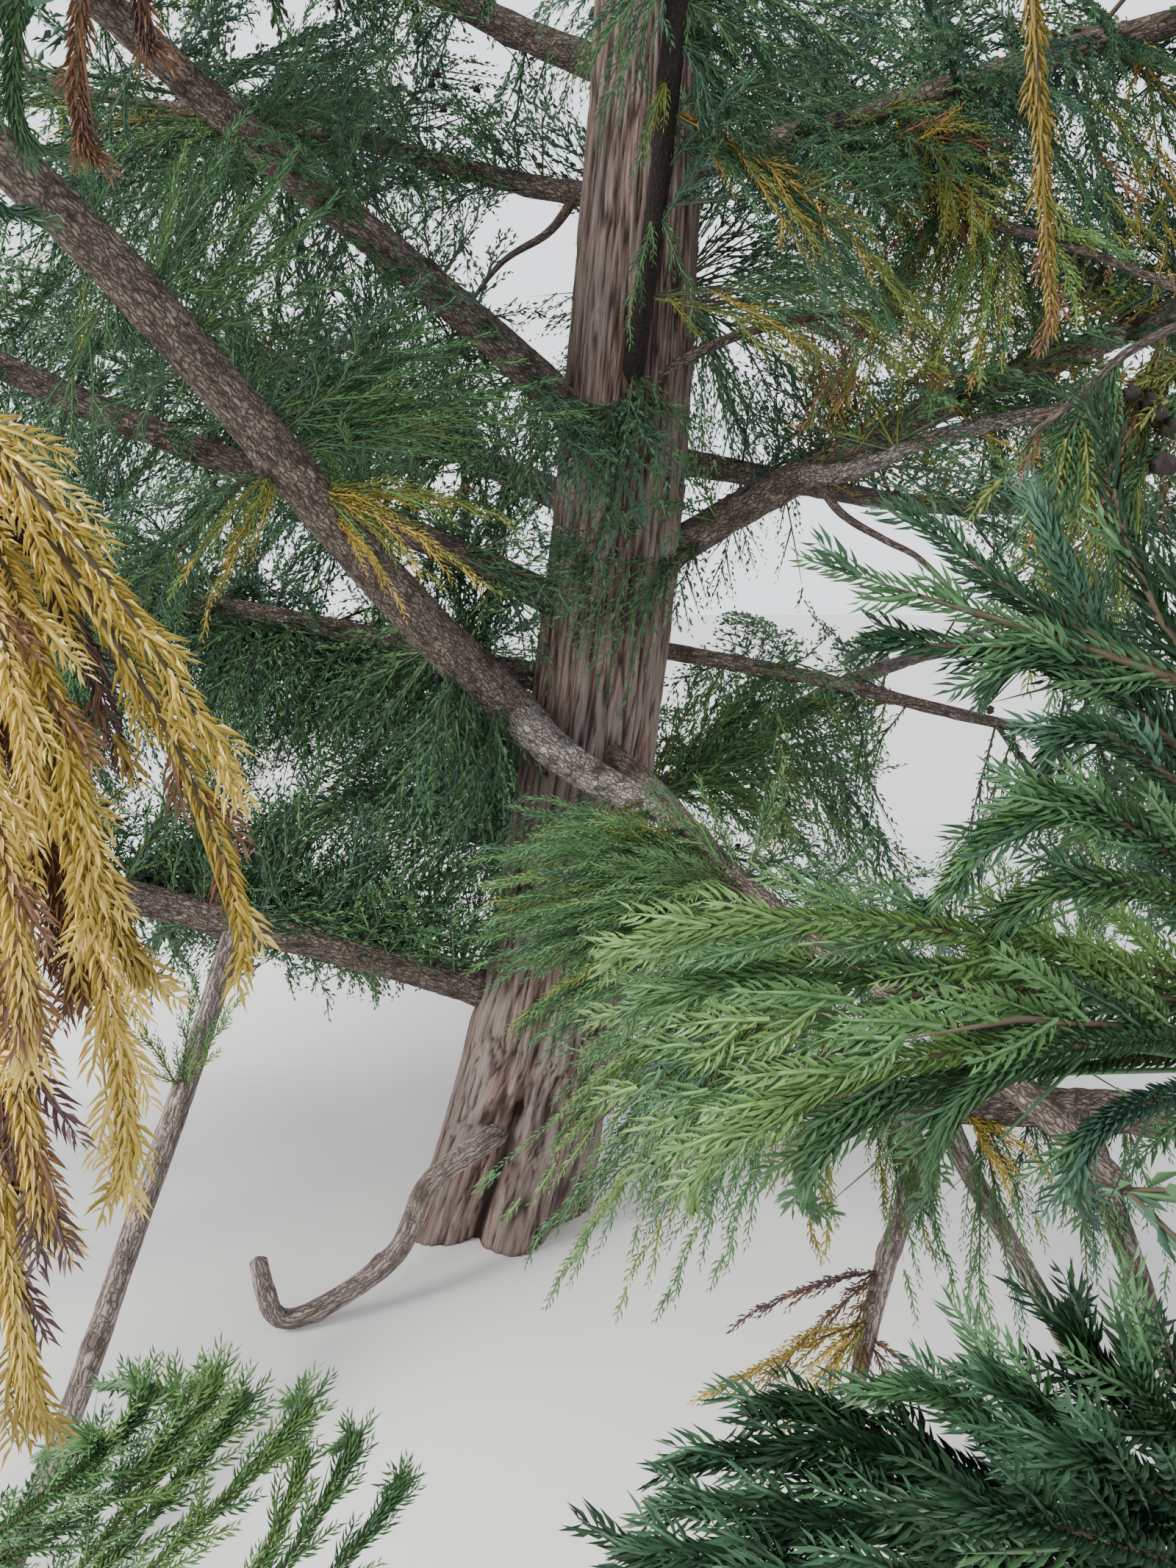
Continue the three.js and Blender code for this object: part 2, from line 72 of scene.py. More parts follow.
# Trunk
TREE_HEIGHT = 11.0
TRUNK_RADIUS = 0.174
TRUNK_TAPER = 1.2
TRUNK_TIP_RADIUS = 0.006
FLARE_RADIUS = 0.034
FLARE_HEIGHT = 0.6
ROOT_LOBES = 5
LOBE_DEPTH = 0.13
LOBE_HEIGHT = 0.32
LEAN_OFFSET = 0.45
LEAN_HEIGHT = 1.6

# Limbs
COURSE_STEPS = 24
COLLAR_SWELL = 0.45
COLLAR_LENGTH = 0.13
STEM_TIP_RADIUS = 0.007
STEM_TAPER = 0.85
WAVE_ANGLE = 3
WAVE_COUNT = 2.2
TOUCH_GAP = 0.0003

# Twigs and sprays
TWIG_RADIUS = 0.013
TWIG_PITCH = 0.245
TWIG_ANGLE = 54
TWIG_ANGLE_SPREAD = 12
TWIG_ROLL_SPREAD = 46
TWIG_ROLL_MEAN = -22
TWIG_SAG = 14
TWIG_LENGTH_SHARE = 0.5
SPRAY_SINK = 0.024
SPRAY_HALF_WIDTH = 0.27
SPRAY_ANGLE = 50
SPRAY_TILT = 85
TIP_TILT = 50
SPRAY_LENGTH_SHARE = 0.3
FEWEST_SHOOTS = 3
FIRST_SHOOT = 0.12
SHOOT_SCATTER = 0.4
SPRAY_SIZES_TRIED = (1, 0.78, 0.6)
SPRAY_SIZE_AT_FOOT = 1.08
SPRAY_SHRINK = 0.3
KNEE_SPRAY_SIZE = 0.8
SPRAY_SHORTEST = 0.62
SPRAY_LONGEST = 0.96

# Clear space that the foliage keeps
MASS_MARGIN = 0.026
LIMB_MARGIN = 0.026
GROUND_MARGIN = 0.06
LOOK_IN_OUTER = np.array([0.26, -3.4, 1.5])
LOOK_IN_INNER = np.array([0.25, -0.7, 1.35])
LOOK_IN_RADIUS = 0.34

LIMB_COLUMNS = ("name", "height", "bearing", "turn", "rise", "tip_rise", "length", "bare", "radius")
LOWER_LIMBS = [
    ("low_left", 0.53, -162, -16, 20, 25, 3.3, 1.15, 0.047),
    ("low_right", 0.43, -44, 5, 10, 18, 3.3, 1.45, 0.047),
    ("low_back", 0.76, 100, 8, 15, 10, 3.3, 0.9, 0.04),
    ("low_back_right", 0.98, 52, -10, 12, 8, 3.3, 0.62, 0.038),
    ("front_left", 1.08, -133, 2, 43, 13, 3.5, 1.5, 0.056),
    ("front_right", 1.19, -73, 8, -10, -12, 2.4, 0.82, 0.025),
    ("back_left", 1.32, 176, 4, 10, 22, 3.3, 0.76, 0.03),
    ("mid_left", 1.46, -156, 1, 23, 5, 3.4, 1.25, 0.034),
    ("right_slender", 1.43, 7, 8, -12, -6, 2.5, 1.05, 0.019),
    ("right", 1.56, 6, -8, 27, 4, 3.4, 1.15, 0.042),
    ("back", 1.7, 132, 4, 22, 10, 3.3, 0.76, 0.036),
    ("behind_right", 1.86, 34, 2, -3, 12, 3.2, 0.76, 0.03),
    ("upper_left", 1.84, -155, 8, 36, 28, 3.3, 1.15, 0.042),
    ("overhead", 1.87, -84, -6, 44, 20, 3.2, 1.05, 0.033),
    ("high_back", 2.23, 78, 6, 12, 14, 3.2, 0.7, 0.034),
    ("small_left", 2.4, 160, -14, 17, 22, 2.9, 0.64, 0.024),
    ("upper_right", 2.45, -14, -4, 10, 4, 3.2, 0.82, 0.03),
    ("top_left", 2.65, 164, 24, 26, 14, 3.0, 0.8, 0.033),
]
GOLDEN_TURN = 137.5
MIDDLE_LIMBS = {"count": 4, "lowest": 2.98, "highest": 4.15, "bearing": -62, "bare": 0.62,
                "radius": 0.033}
UPPER_LIMBS = {"count": 11, "lowest": 4.5, "highest": 10.27, "bearing": 128, "bare": 0,
               "radius": 0.027}
CROWN_REACH = 3.15
CROWN_SHOULDER = 2.0
CROWN_CURVE = 0.74
SHORTEST_UPPER_LIMB = 0.98
RISE_LOW = 28
RISE_HIGH = 52
RISE_FALL = 26
LIMB_TO_TRUNK = 0.42
UPPER_THINNING = 0.35
HEIGHT_CROWDING = 0.94
UPPER_TURN = 6
MASS_SEED = 4100

# Dead wood near the foot
STUB_POINTS = [(0.04, -0.09, 0.262), (-0.02, -0.25, 0.282), (-0.126, -0.345, 0.235),
               (-0.19, -0.41, 0.11), (-0.34, -0.49, 0.036), (-0.425, -0.52, 0.04)]
STUB_END = (-0.45, -0.542, 0.182)
STUB_RADIUS = 0.026
STUB_TIP_SHARE = 0.72
HANGING_LIMB = {"from": "low_left", "distance": 0.77, "bearing": -97, "turn": 6, "rise": -41,
                "tip_rise": -21, "length": 1.37, "radius": 0.025, "tip_radius": 0.019}

# Where the tree is looked at from, and the grid that places in that view are given on
EYE = np.array([0.231, -2.7, 1.5])
LOOK_DOWN = 8.7
FRAME_SIZE = (1600, 2133)
FOCAL_PIXELS = 1541
VIEW_GRID = (1500, 2000)

UP = np.array([0.0, 0.0, 1.0])
NEAREST_DEPTH = 0.02
VIEW_MARGIN = 60
FIRST_SEEN_DEPTH = 0.15

# Working values for directions, curves and the run of seeded numbers
NEARLY_UPRIGHT = 0.05
CURVE_POINTS = 16
SEED_FACTOR = 1664525
SEED_STEP = 1013904223
SEED_RANGE = 4294967296

# Needle sizes and how closely the cords of needles branch. The part of the crown that is looked
# at from within is near life size, and the rest has fewer and larger needles. In the view each
# grade is used up to its own depth from the eye.
GRADE_COLUMNS = ("length", "width", "pitch", "core", "branchlet_pitch", "side_pitch", "side_share")
GRADES = {name: dict(zip(GRADE_COLUMNS, sizes)) for name, *sizes in (
    ("finest", 0.0140, 0.0021, 0.0014, 0.0020, 0.024, 0.060, 0.36),
    ("fine", 0.0160, 0.0027, 0.0021, 0.0022, 0.030, 0.070, 0.40),
    ("close", 0.0185, 0.0040, 0.0036, 0.0024, 0.032, 0.080, 0.42),
    ("middle", 0.0205, 0.0073, 0.0104, 0.0032, 0.034, 0, 0),
    ("far", 0.0290, 0.0112, 0.0160, 0.0044, 0.042, 0, 0),
    ("coarse", 0.0440, 0.0165, 0.0180, 0.0060, 0.052, 0, 0),
    ("crown", 0.0780, 0.0310, 0.0330, 0.0070, 0.072, 0, 0),
)}
GRADE_NAMES = tuple(GRADES)
GRADE_DEPTHS = {"finest": 0.8, "fine": 1.4, "close": 2.3, "middle": 3.05, "far": 5.0}
PLAIN_CORES = ("middle", "far", "coarse", "crown")
CROWN_GRADE_HEIGHT = 3.3

# One needle: a kite folded along its middle, which leans out from the cord and turns in again
FEWEST_NEEDLES = 3
NEEDLE_TIP = {"forward": 0.84, "outward": 0.48}
NEEDLE_MIDDLE = {"at": 0.42, "forward": 0.72, "outward": 0.66}
NEEDLE_FOLD = 0.12
NEEDLE_FLATNESS = 0.5
NEEDLE_UNEVENNESS = 0.16
NEEDLE_SHORTENING = 0.5
CORD_TURN = 1.7
CORE_SIDES = 3
CORE_MIDDLE = (0.5, 0.8)
TWIG_SIDES = 4
TWIG_STEPS = 3

# What share of a spray's cords takes each colour
PALETTES = {
    "deep": {"deep": 0.48, "blue": 0.30, "leaf": 0.22},
    "leaf": {"leaf": 0.50, "deep": 0.24, "blue": 0.12, "fresh": 0.14},
    "fresh": {"fresh": 0.52, "leaf": 0.30, "light": 0.12, "olive": 0.06},
    "pale": {"fresh": 0.46, "leaf": 0.26, "light": 0.28},
    "amber": {"amber": 0.58, "gold": 0.28, "ochre": 0.08, "rust": 0.06},
    "shade": {"deep": 0.45, "dusk": 0.45, "leaf": 0.10},
    "dim": {"olive": 0.55, "ochre": 0.30, "rust": 0.15},
    "hanging": {"olive": 0.40, "leaf": 0.48, "rust": 0.12},
    "gold": {"gold": 0.50, "ochre": 0.18, "olive": 0.26, "rust": 0.06},
    "lemon": {"olive": 0.38, "gold": 0.34, "light": 0.16, "ochre": 0.12},
    "turning": {"olive": 0.50, "leaf": 0.30, "ochre": 0.12, "rust": 0.08},
    "leafy": {"leaf": 0.46, "fresh": 0.34, "blue": 0.20},
    "yellowing": {"light": 0.45, "olive": 0.33, "fresh": 0.22},
    "brown": {"rust": 0.50, "plum": 0.40, "ochre": 0.10},
}
COLOUR_NAMES = ("deep", "blue", "leaf", "fresh", "light", "olive", "ochre", "gold", "rust", "plum",
                "amber", "dusk")
SAME_COLOUR_SHARE = 0.55
TURNING_CHANCE = 0.03
DEEP_CHANCE = 0.62
ROPE_PALETTES = ("gold", "lemon", "fresh", "turning", "leafy", "yellowing", "hanging")

# Fans have many short branchlets. Ropes have few long ones at a narrow angle.
SPRAY_KINDS = {"fan": {"angle": 38, "lift": 0.15, "uneven": (0.85, 1.1)},
               "ropes": {"angle": 24, "lift": 0.3, "uneven": (0.7, 1.1)}}
ROPE_PITCH = 0.036
ROPE_REACH = 0.46
ROPE_NARROWING = 0.7
SPRAY_DROOP = 0.16
SPRAY_SWAY = 0.03
AXIS_TWIG = {"foot": 0.0016, "foot_by_length": 0.003, "tip": 0.0011}
DRESSED_SPREAD = 1.08
WOODY_SHARE = 0.8
FEWEST_BRANCHLETS = 4
BRANCHLETS_PER_PITCH = 0.92
BRANCHLET = {"scatter": 4, "closing": 10, "lift": -0.05, "shortest": 0.03, "forward": 0.16,
             "inward": 0.10, "droop": 0.12}
SIDE_CORD = {"leafy": 0.85, "angle": 36, "scatter": 5, "lift": 0.3, "longest_for": 0.17,
             "shortest": 0.018, "uneven": (0.8, 1.2), "forward": 0.18, "droop": 0.12}
BOX_SPARE = 0.02
LOWEST_TIP = 0.03
TRUNK_CLEARANCE = 0.01

# Points over a spray that are tested for clear space
TEST_SHARES = np.arange(0.2, 1.001, 0.1)
TEST_EDGES = (-0.85, 0, 0.85)
WIDEST_SHARE = 0.35

# Growth besides the masses' own shoots: fine growth on every stem, leafy twigs above the view,
# shoots on bare stretches, the leader, and what dresses the side branches out of view.
# A roll, a lean and a rise are degrees, and a twig's radius is a share of TWIG_RADIUS.
MASS_TWIG_SHARE = 0.7
FILL = {"start": 0.08, "pitch": 0.085, "pitch_in_view": 0.042, "depth": 3.9, "margin": 300,
        "seen_share": 0.4, "roll": 25, "lean": (38, 72), "sag": 0.08, "lengths": (0.55, 0.95),
        "inside": 0.6, "on_twig": 0.45, "twig_reach": 0.35, "twig_share": 0.5}
CROWN = {"start": 0.2, "pitch": 0.095, "roll": 20, "lean": (42, 74), "sag": 0.06, "reach": 0.42,
         "at_foot": 1.15, "uneven": (0.6, 1.1), "end_sag": 0.08, "twig_share": 0.4,
         "top_margin": 0.1, "side_margin": 0.05}
TWIG_SPRAYS = {"at": (0.4, 0.65, 0.88, 1.0), "aside": (30, 60), "tilt": (-0.05, 0.15),
               "longest": 0.55, "shortest": 0.25, "growth": 0.5, "uneven": (0.8, 1.1), "roll": 60}
BARE_SHOOTS = {"start": 0.3, "pitch": 0.06, "uneven": (0.6, 1.4), "behind": 2.75, "lean": (35, 75),
               "sag": 0.15, "lengths": (0.3, 0.55), "roll": 80}
LEADER = {"lowest": 9.6, "margin": 0.12, "sprays": 26, "rise": 35, "steepening": 40,
          "length": 0.62, "shortening": 0.36, "roll": 60}
SIDE_DRESS = {"start": 0.15, "last": 0.95, "pitch": 0.07, "margin": 240, "tip_margin": 140,
              "forward": 0.75, "outward": 0.7, "sag": 0.1, "tip": 0.5, "lengths": (0.3, 0.5),
              "roll": 60}
HANGING_BRANCHES = ("left_hanging", "right_reaching", "right_low", "front_low",
                    "overhead_right_hanging", "overhead_left_hanging")

# Cones. A half width is a share of the length, and a ring is a place along the cone and a width.
CONES_AT_RANDOM = 130
CONES_IN_A_CLUSTER = 4
CONES_BEYOND = 2.4
CONE_VIEW_MARGIN = 200
CONE_PLACES = [(1450, 500, 0.97), (1480, 520, 0.97), (1476, 580, 0.98), (335, 190, 2.2),
               (560, 90, 2.4)]
CONE_HANG = 0.4
CONE_SIZES = (0.8, 1.15)
CONE_LENGTH = 0.019
CONE_HALF_WIDTH = 0.46
CONE_RINGS = ((0.0, 0.25), (0.15, 0.75), (0.4, 1.0), (0.66, 0.86), (0.88, 0.5), (1.0, 0.12))
CONE_SIDES = 6
CONE_SCALE_OUT = 0.34

# Ropes close to the eye, and the palettes that have a brown stretch: the palette of the rest, and
# where along the rope the brown is
CLOSE_ROPE = {"pitch": 0.026, "fewest": 3, "angle": 26, "scatter": 4, "lift": 0.3,
              "uneven": (0.6, 1.0), "reach": (0.02, 0.16), "forward": 0.2, "inward": 0.08,
              "foot": 0.0026, "tip": 0.0012}
BROWN_STRETCHES = {"browning": ("amber", 0.5, 0.82), "dying": ("dim", 0.74, 1.0)}

# Sprays that reach from the limbs into the leafy parts of the view
ZONE_REACH = (0.24, 0.85)
ZONE_SPRAYS = {"first": 0.25, "pitch": 0.06, "uneven": (0.8, 1.25), "furthest": 1.5,
               "own_reach": 0.8, "roll": 55, "own_palette": 0.35, "half_width": 0.3,
               "twig_share": 0.6, "arch": 0.02}
PLACED_ROLL = 40

# The trunk's bark. A scale says how fine the noise is, twice across the trunk and once up it.
RING_STEP = 0.014
RELIEF_HEIGHT = 3.2
RING_STEP_UP = 0.02
RING_STEP_GAIN = 0.05
WIDEST_RING_STEP = 0.12
GRAIN_RADIUS = 0.19
BARK_WANDER = {"scale": (6, 6, 1.6), "reach": 0.016}
BARK_STRIPS = {"scale": (62, 62, 4.2), "sharpness": 2.6, "depth": 1.1}
BARK_FIBRES = {"scale": (120, 120, 11), "depth": 0.5}
BARK_SWELLS = {"scale": (7, 7, 1.3), "depth": 0.012}
FULL_RELIEF_RADIUS = 0.15
KNOT_HEIGHT = 0.33
KNOT_ANGLE = -97
KNOT_REACH = 0.085
KNOT_HOLE = 0.021
KNOT_RINGS = 210
KNOT_DEPTH = 0.020
KNOT_RING_DEPTH = 0.003
KNOT_RIM = {"at": 0.05, "width": 0.026}
KNOT_UNEVENNESS = {"scale": (2.5, 10), "reach": 0.45}
KNOT_PUSH = 1.4
FOLD_ANGLE = -96
FOLD_LEAN = 26
FOLD_HEIGHT = 0.5
FOLD_WIDTH = 6
FOLD_DEPTH = 0.16

# The foot's two great ridges: degrees from the fold, height as a share of the radius, half width
# in degrees, and how far up they reach
FOOT_RIDGES = ((-32, 0.12, 20, 0.6), (24, 0.06, 14, 0.5))

# The boughs' bark, with knots where twigs have fallen
PLATE_GRAIN_RADIUS = 0.05
SMALLEST_GRAIN = 0.35
PLATES = {"scale": (70, 70, 26), "sharpness": 3.2}
PLATE_FIBRES = {"scale": (170, 170, 60), "depth": 0.5}
BOUGH_SWELLS = {"scale": (9, 9, 4), "depth": 0.10}
FULL_PLATE_RADIUS = 0.03
END_SHARE = 0.35
LOWEST_BARK = 0.002
SCAR_PITCH = 0.16
SCAR_FIRST = 0.15
SCAR_SCATTER = 0.06
SCAR_SIZE = 0.019
SCAR_SIZES = (0.6, 1.3)
SCARS_DOWN_TO = 0.018
KNOT_RISE = 0.006
PLATE_SCALE = (150, 150, 48)
SPLIT_SCALE = (120, 120, 7)
OVERHEAD_SLIMNESS = 0.68

# Faces round a limb, and the step between its rings. A limb is a close one when it is near the
# eye at a share of its length and has a long bare stretch.
CLOSE_LIMB = (32, 0.012)
FAR_LIMB = (20, 0.03)
SIDE_BRANCH = (20, 0.014)
HANGING_DEAD = (24, 0.014)
CROOKED_STUB = (24, 0.01)
CLOSE_DEPTH = 2.6
CLOSE_TEST_SHARE = 0.3
LEAST_BARE = 1
DEAD_RELIEF = 0.0015
STUB_RELIEF = 0.002
STUB_STEPS = 40
SIDE_RELIEF_SHARE = 0.7

# Pieces
PIECE_TRIANGLES = 190000
CORE_TRIANGLES = 9

# Stage
FLOOR_HALF_SIZE = 400
SKY_COLOUR = (0.93, 0.96, 1.0, 1)
KEY_LIGHT_PLACE = (-8.0, -4.5, 6.5)
KEY_LIGHT_SIZE = 4.0
KEY_LIGHT_AIM = (0.3, 0.2, 1.6)
KEY_LIGHT_COLOUR = (1.0, 0.98, 0.95)
SENSOR_LONG_SIDE = 36
CAMERA_NEAR = 0.02

# Where the view shows turning or fresh sprays: across, down, half sizes, depths, palette, share
COLOUR_ZONES = [
    (1200, 400, 230, 190, 1.4, 3.4, "turning", 0.45),
    (1330, 560, 170, 90, 1.4, 3.2, "turning", 0.35),
    (150, 110, 130, 130, 1.0, 3.0, "turning", 0.5),
    (850, 1280, 330, 300, 0.9, 2.5, "fresh", 0.85),
    (1000, 960, 150, 150, 1.8, 4.0, "fresh", 0.5),
    (560, 480, 260, 120, 1.6, 3.4, "leaf", 0.7),
]

# Open places in the view, where few sprays stand in the way: across, down, half sizes, the depths
# between which they are open, and the share of cords that stays
OPENINGS = [
    (750, 1000, 1100, 1300, 0.0, 1.5, 0.0),
    (1230, 890, 115, 130, 0.0, 9.0, 0.02),
    (1130, 730, 130, 75, 0.0, 9.0, 0.06),
    (1180, 1030, 60, 60, 0.0, 9.0, 0.1),
    (785, 330, 90, 240, 0.0, 2.75, 0.05),
    (775, 740, 85, 300, 0.0, 2.75, 0.12),
    (660, 1440, 130, 150, 0.0, 2.9, 0.02),
    (670, 320, 60, 80, 0.0, 9.0, 0.1),
    (925, 340, 45, 90, 0.0, 9.0, 0.15),
    (330, 1400, 360, 120, 0.0, 3.2, 0.02),
    (350, 1650, 480, 260, 0.0, 3.2, 0.02),
    (800, 1800, 300, 200, 0.0, 3.2, 0.02),
    (640, 60, 60, 50, 0.0, 9.0, 0.3),
    (1300, 1400, 240, 70, 0.0, 1.95, 0.0),
    (1270, 1600, 250, 190, 0.0, 2.2, 0.12),
]

# Bark that shows past the nearest sprays as well, in the same columns
BARE_BARK = [
    (1330, 1402, 190, 46, 0.0, 1.9, 0.0),
    (1165, 1385, 80, 36, 0.0, 1.9, 0.25),
    (655, 1440, 42, 100, 0.0, 2.6, 0.0),
    (930, 1098, 42, 42, 0.6, 2.02, 0.1),
    (982, 1160, 40, 40, 0.6, 1.87, 0.1),
    (1032, 1222, 36, 36, 0.6, 1.76, 0.15),
    (1060, 598, 60, 26, 1.2, 2.55, 0.05),
    (1160, 566, 62, 26, 1.2, 2.45, 0.05),
    (1260, 544, 62, 25, 1.2, 2.35, 0.05),
    (1350, 530, 60, 25, 1.2, 2.25, 0.05),
    (1440, 519, 60, 25, 1.2, 2.15, 0.05),
    (940, 670, 75, 40, 1.2, 2.6, 0.05),
    (1120, 1650, 60, 130, 0.6, 1.9, 0.3),
    (1320, 1620, 70, 110, 0.6, 1.9, 0.3),
]

# Boughs and twigs besides the main limbs: name, the limb that carries it, how far along that
# limb, radius, tip radius, bark, and the places that it passes. Some reach in from outside the
# view.
SIDE_BRANCHES = [
    ("front_crossing", "front_left", 0.3, 0.04, 0.007, "bough_weathered",
     [(700, 950, 2.48), (755, 990, 2.44), (812, 1018, 2.36), (868, 1050, 2.22), (925, 1108, 2.06),
      (1000, 1185, 1.88), (1062, 1258, 1.76)]),
    ("right_fork", "right", 0.52, 0.021, 0.012, "bough_weathered",
     [(1090, 600, 2.5), (1180, 562, 2.38), (1310, 531, 2.26), (1420, 522, 2.14), (1520, 512, 2.02)]),
    ("right_curved", "right", 0.56, 0.011, 0.005, "bough_plates",
     [(1070, 652, 2.5), (1131, 690, 2.46), (1172, 712, 2.42), (1230, 770, 2.38)]),
    ("behind_thin", "overhead", 0.16, 0.013, 0.005, "bough_plates",
     [(880, 455, 2.5), (950, 425, 2.54), (1060, 402, 2.6), (1180, 400, 2.66)]),
    ("small_left_thin", "small_left", 0.16, 0.01, 0.004, "bough_plates",
     [(700, 296, 2.6), (640, 335, 2.66), (590, 400, 2.7)]),
    ("upper_right_thin", "upper_right", 0.75, 0.012, 0.006, "bough_plates",
     [(1250, 265, 2.22), (1340, 304, 2.12), (1430, 338, 2.04), (1540, 385, 1.95)]),
    ("right_near", "low_right", 2.0, 0.011, 0.003, "bough_plates",
     [(1900, 1000, 1.35), (1690, 560, 1.12), (1500, 420, 1.0), (1410, 480, 0.97), (1310, 560, 0.95)]),
    ("low_dead_first", "low_right", 1.0, 0.023, 0.012, "dead_fibres",
     [(1165, 1490, 2.06), (1122, 1640, 2.0), (1082, 1815, 1.92)]),
    ("low_dead_second", "low_right", 1.08, 0.02, 0.011, "dead_fibres",
     [(1240, 1500, 1.98), (1320, 1640, 1.9), (1400, 1790, 1.82)]),
    ("low_dead_third", "low_right", 1.34, 0.024, 0.014, "bough_plates",
     [(1390, 1460, 1.86), (1440, 1600, 1.8), (1496, 1765, 1.74)]),
    ("left_hanging", "front_left", 2.1, 0.014, 0.005, "bough_plates",
     [(-300, 60, 1.05), (-190, 320, 0.68), (-70, 500, 0.48)]),
    ("right_reaching", "low_right", 1.9, 0.018, 0.005, "bough_plates",
     [(1900, 1500, 1.15), (1750, 1330, 0.68), (1620, 1120, 0.5), (1540, 880, 0.46)]),
    ("right_low", "low_right", 2.2, 0.015, 0.005, "bough_plates",
     [(1900, 1900, 0.95), (1720, 2070, 0.56), (1540, 2140, 0.44)]),
    ("front_low", "low_left", 1.5, 0.015, 0.005, "bough_plates",
     [(-420, 1560, 1.7), (-260, 2200, 1.25), (60, 2420, 1.05), (330, 2420, 1.05)]),
    ("overhead_right_hanging", "overhead", 1.9, 0.011, 0.004, "bough_plates",
     [(1150, -800, 0.9), (1290, -430, 0.56), (1320, -120, 0.46)]),
    ("overhead_left_hanging", "overhead", 2.0, 0.011, 0.004, "bough_plates",
     [(300, -800, 0.85), (170, -450, 0.56), (140, -150, 0.46)]),
]

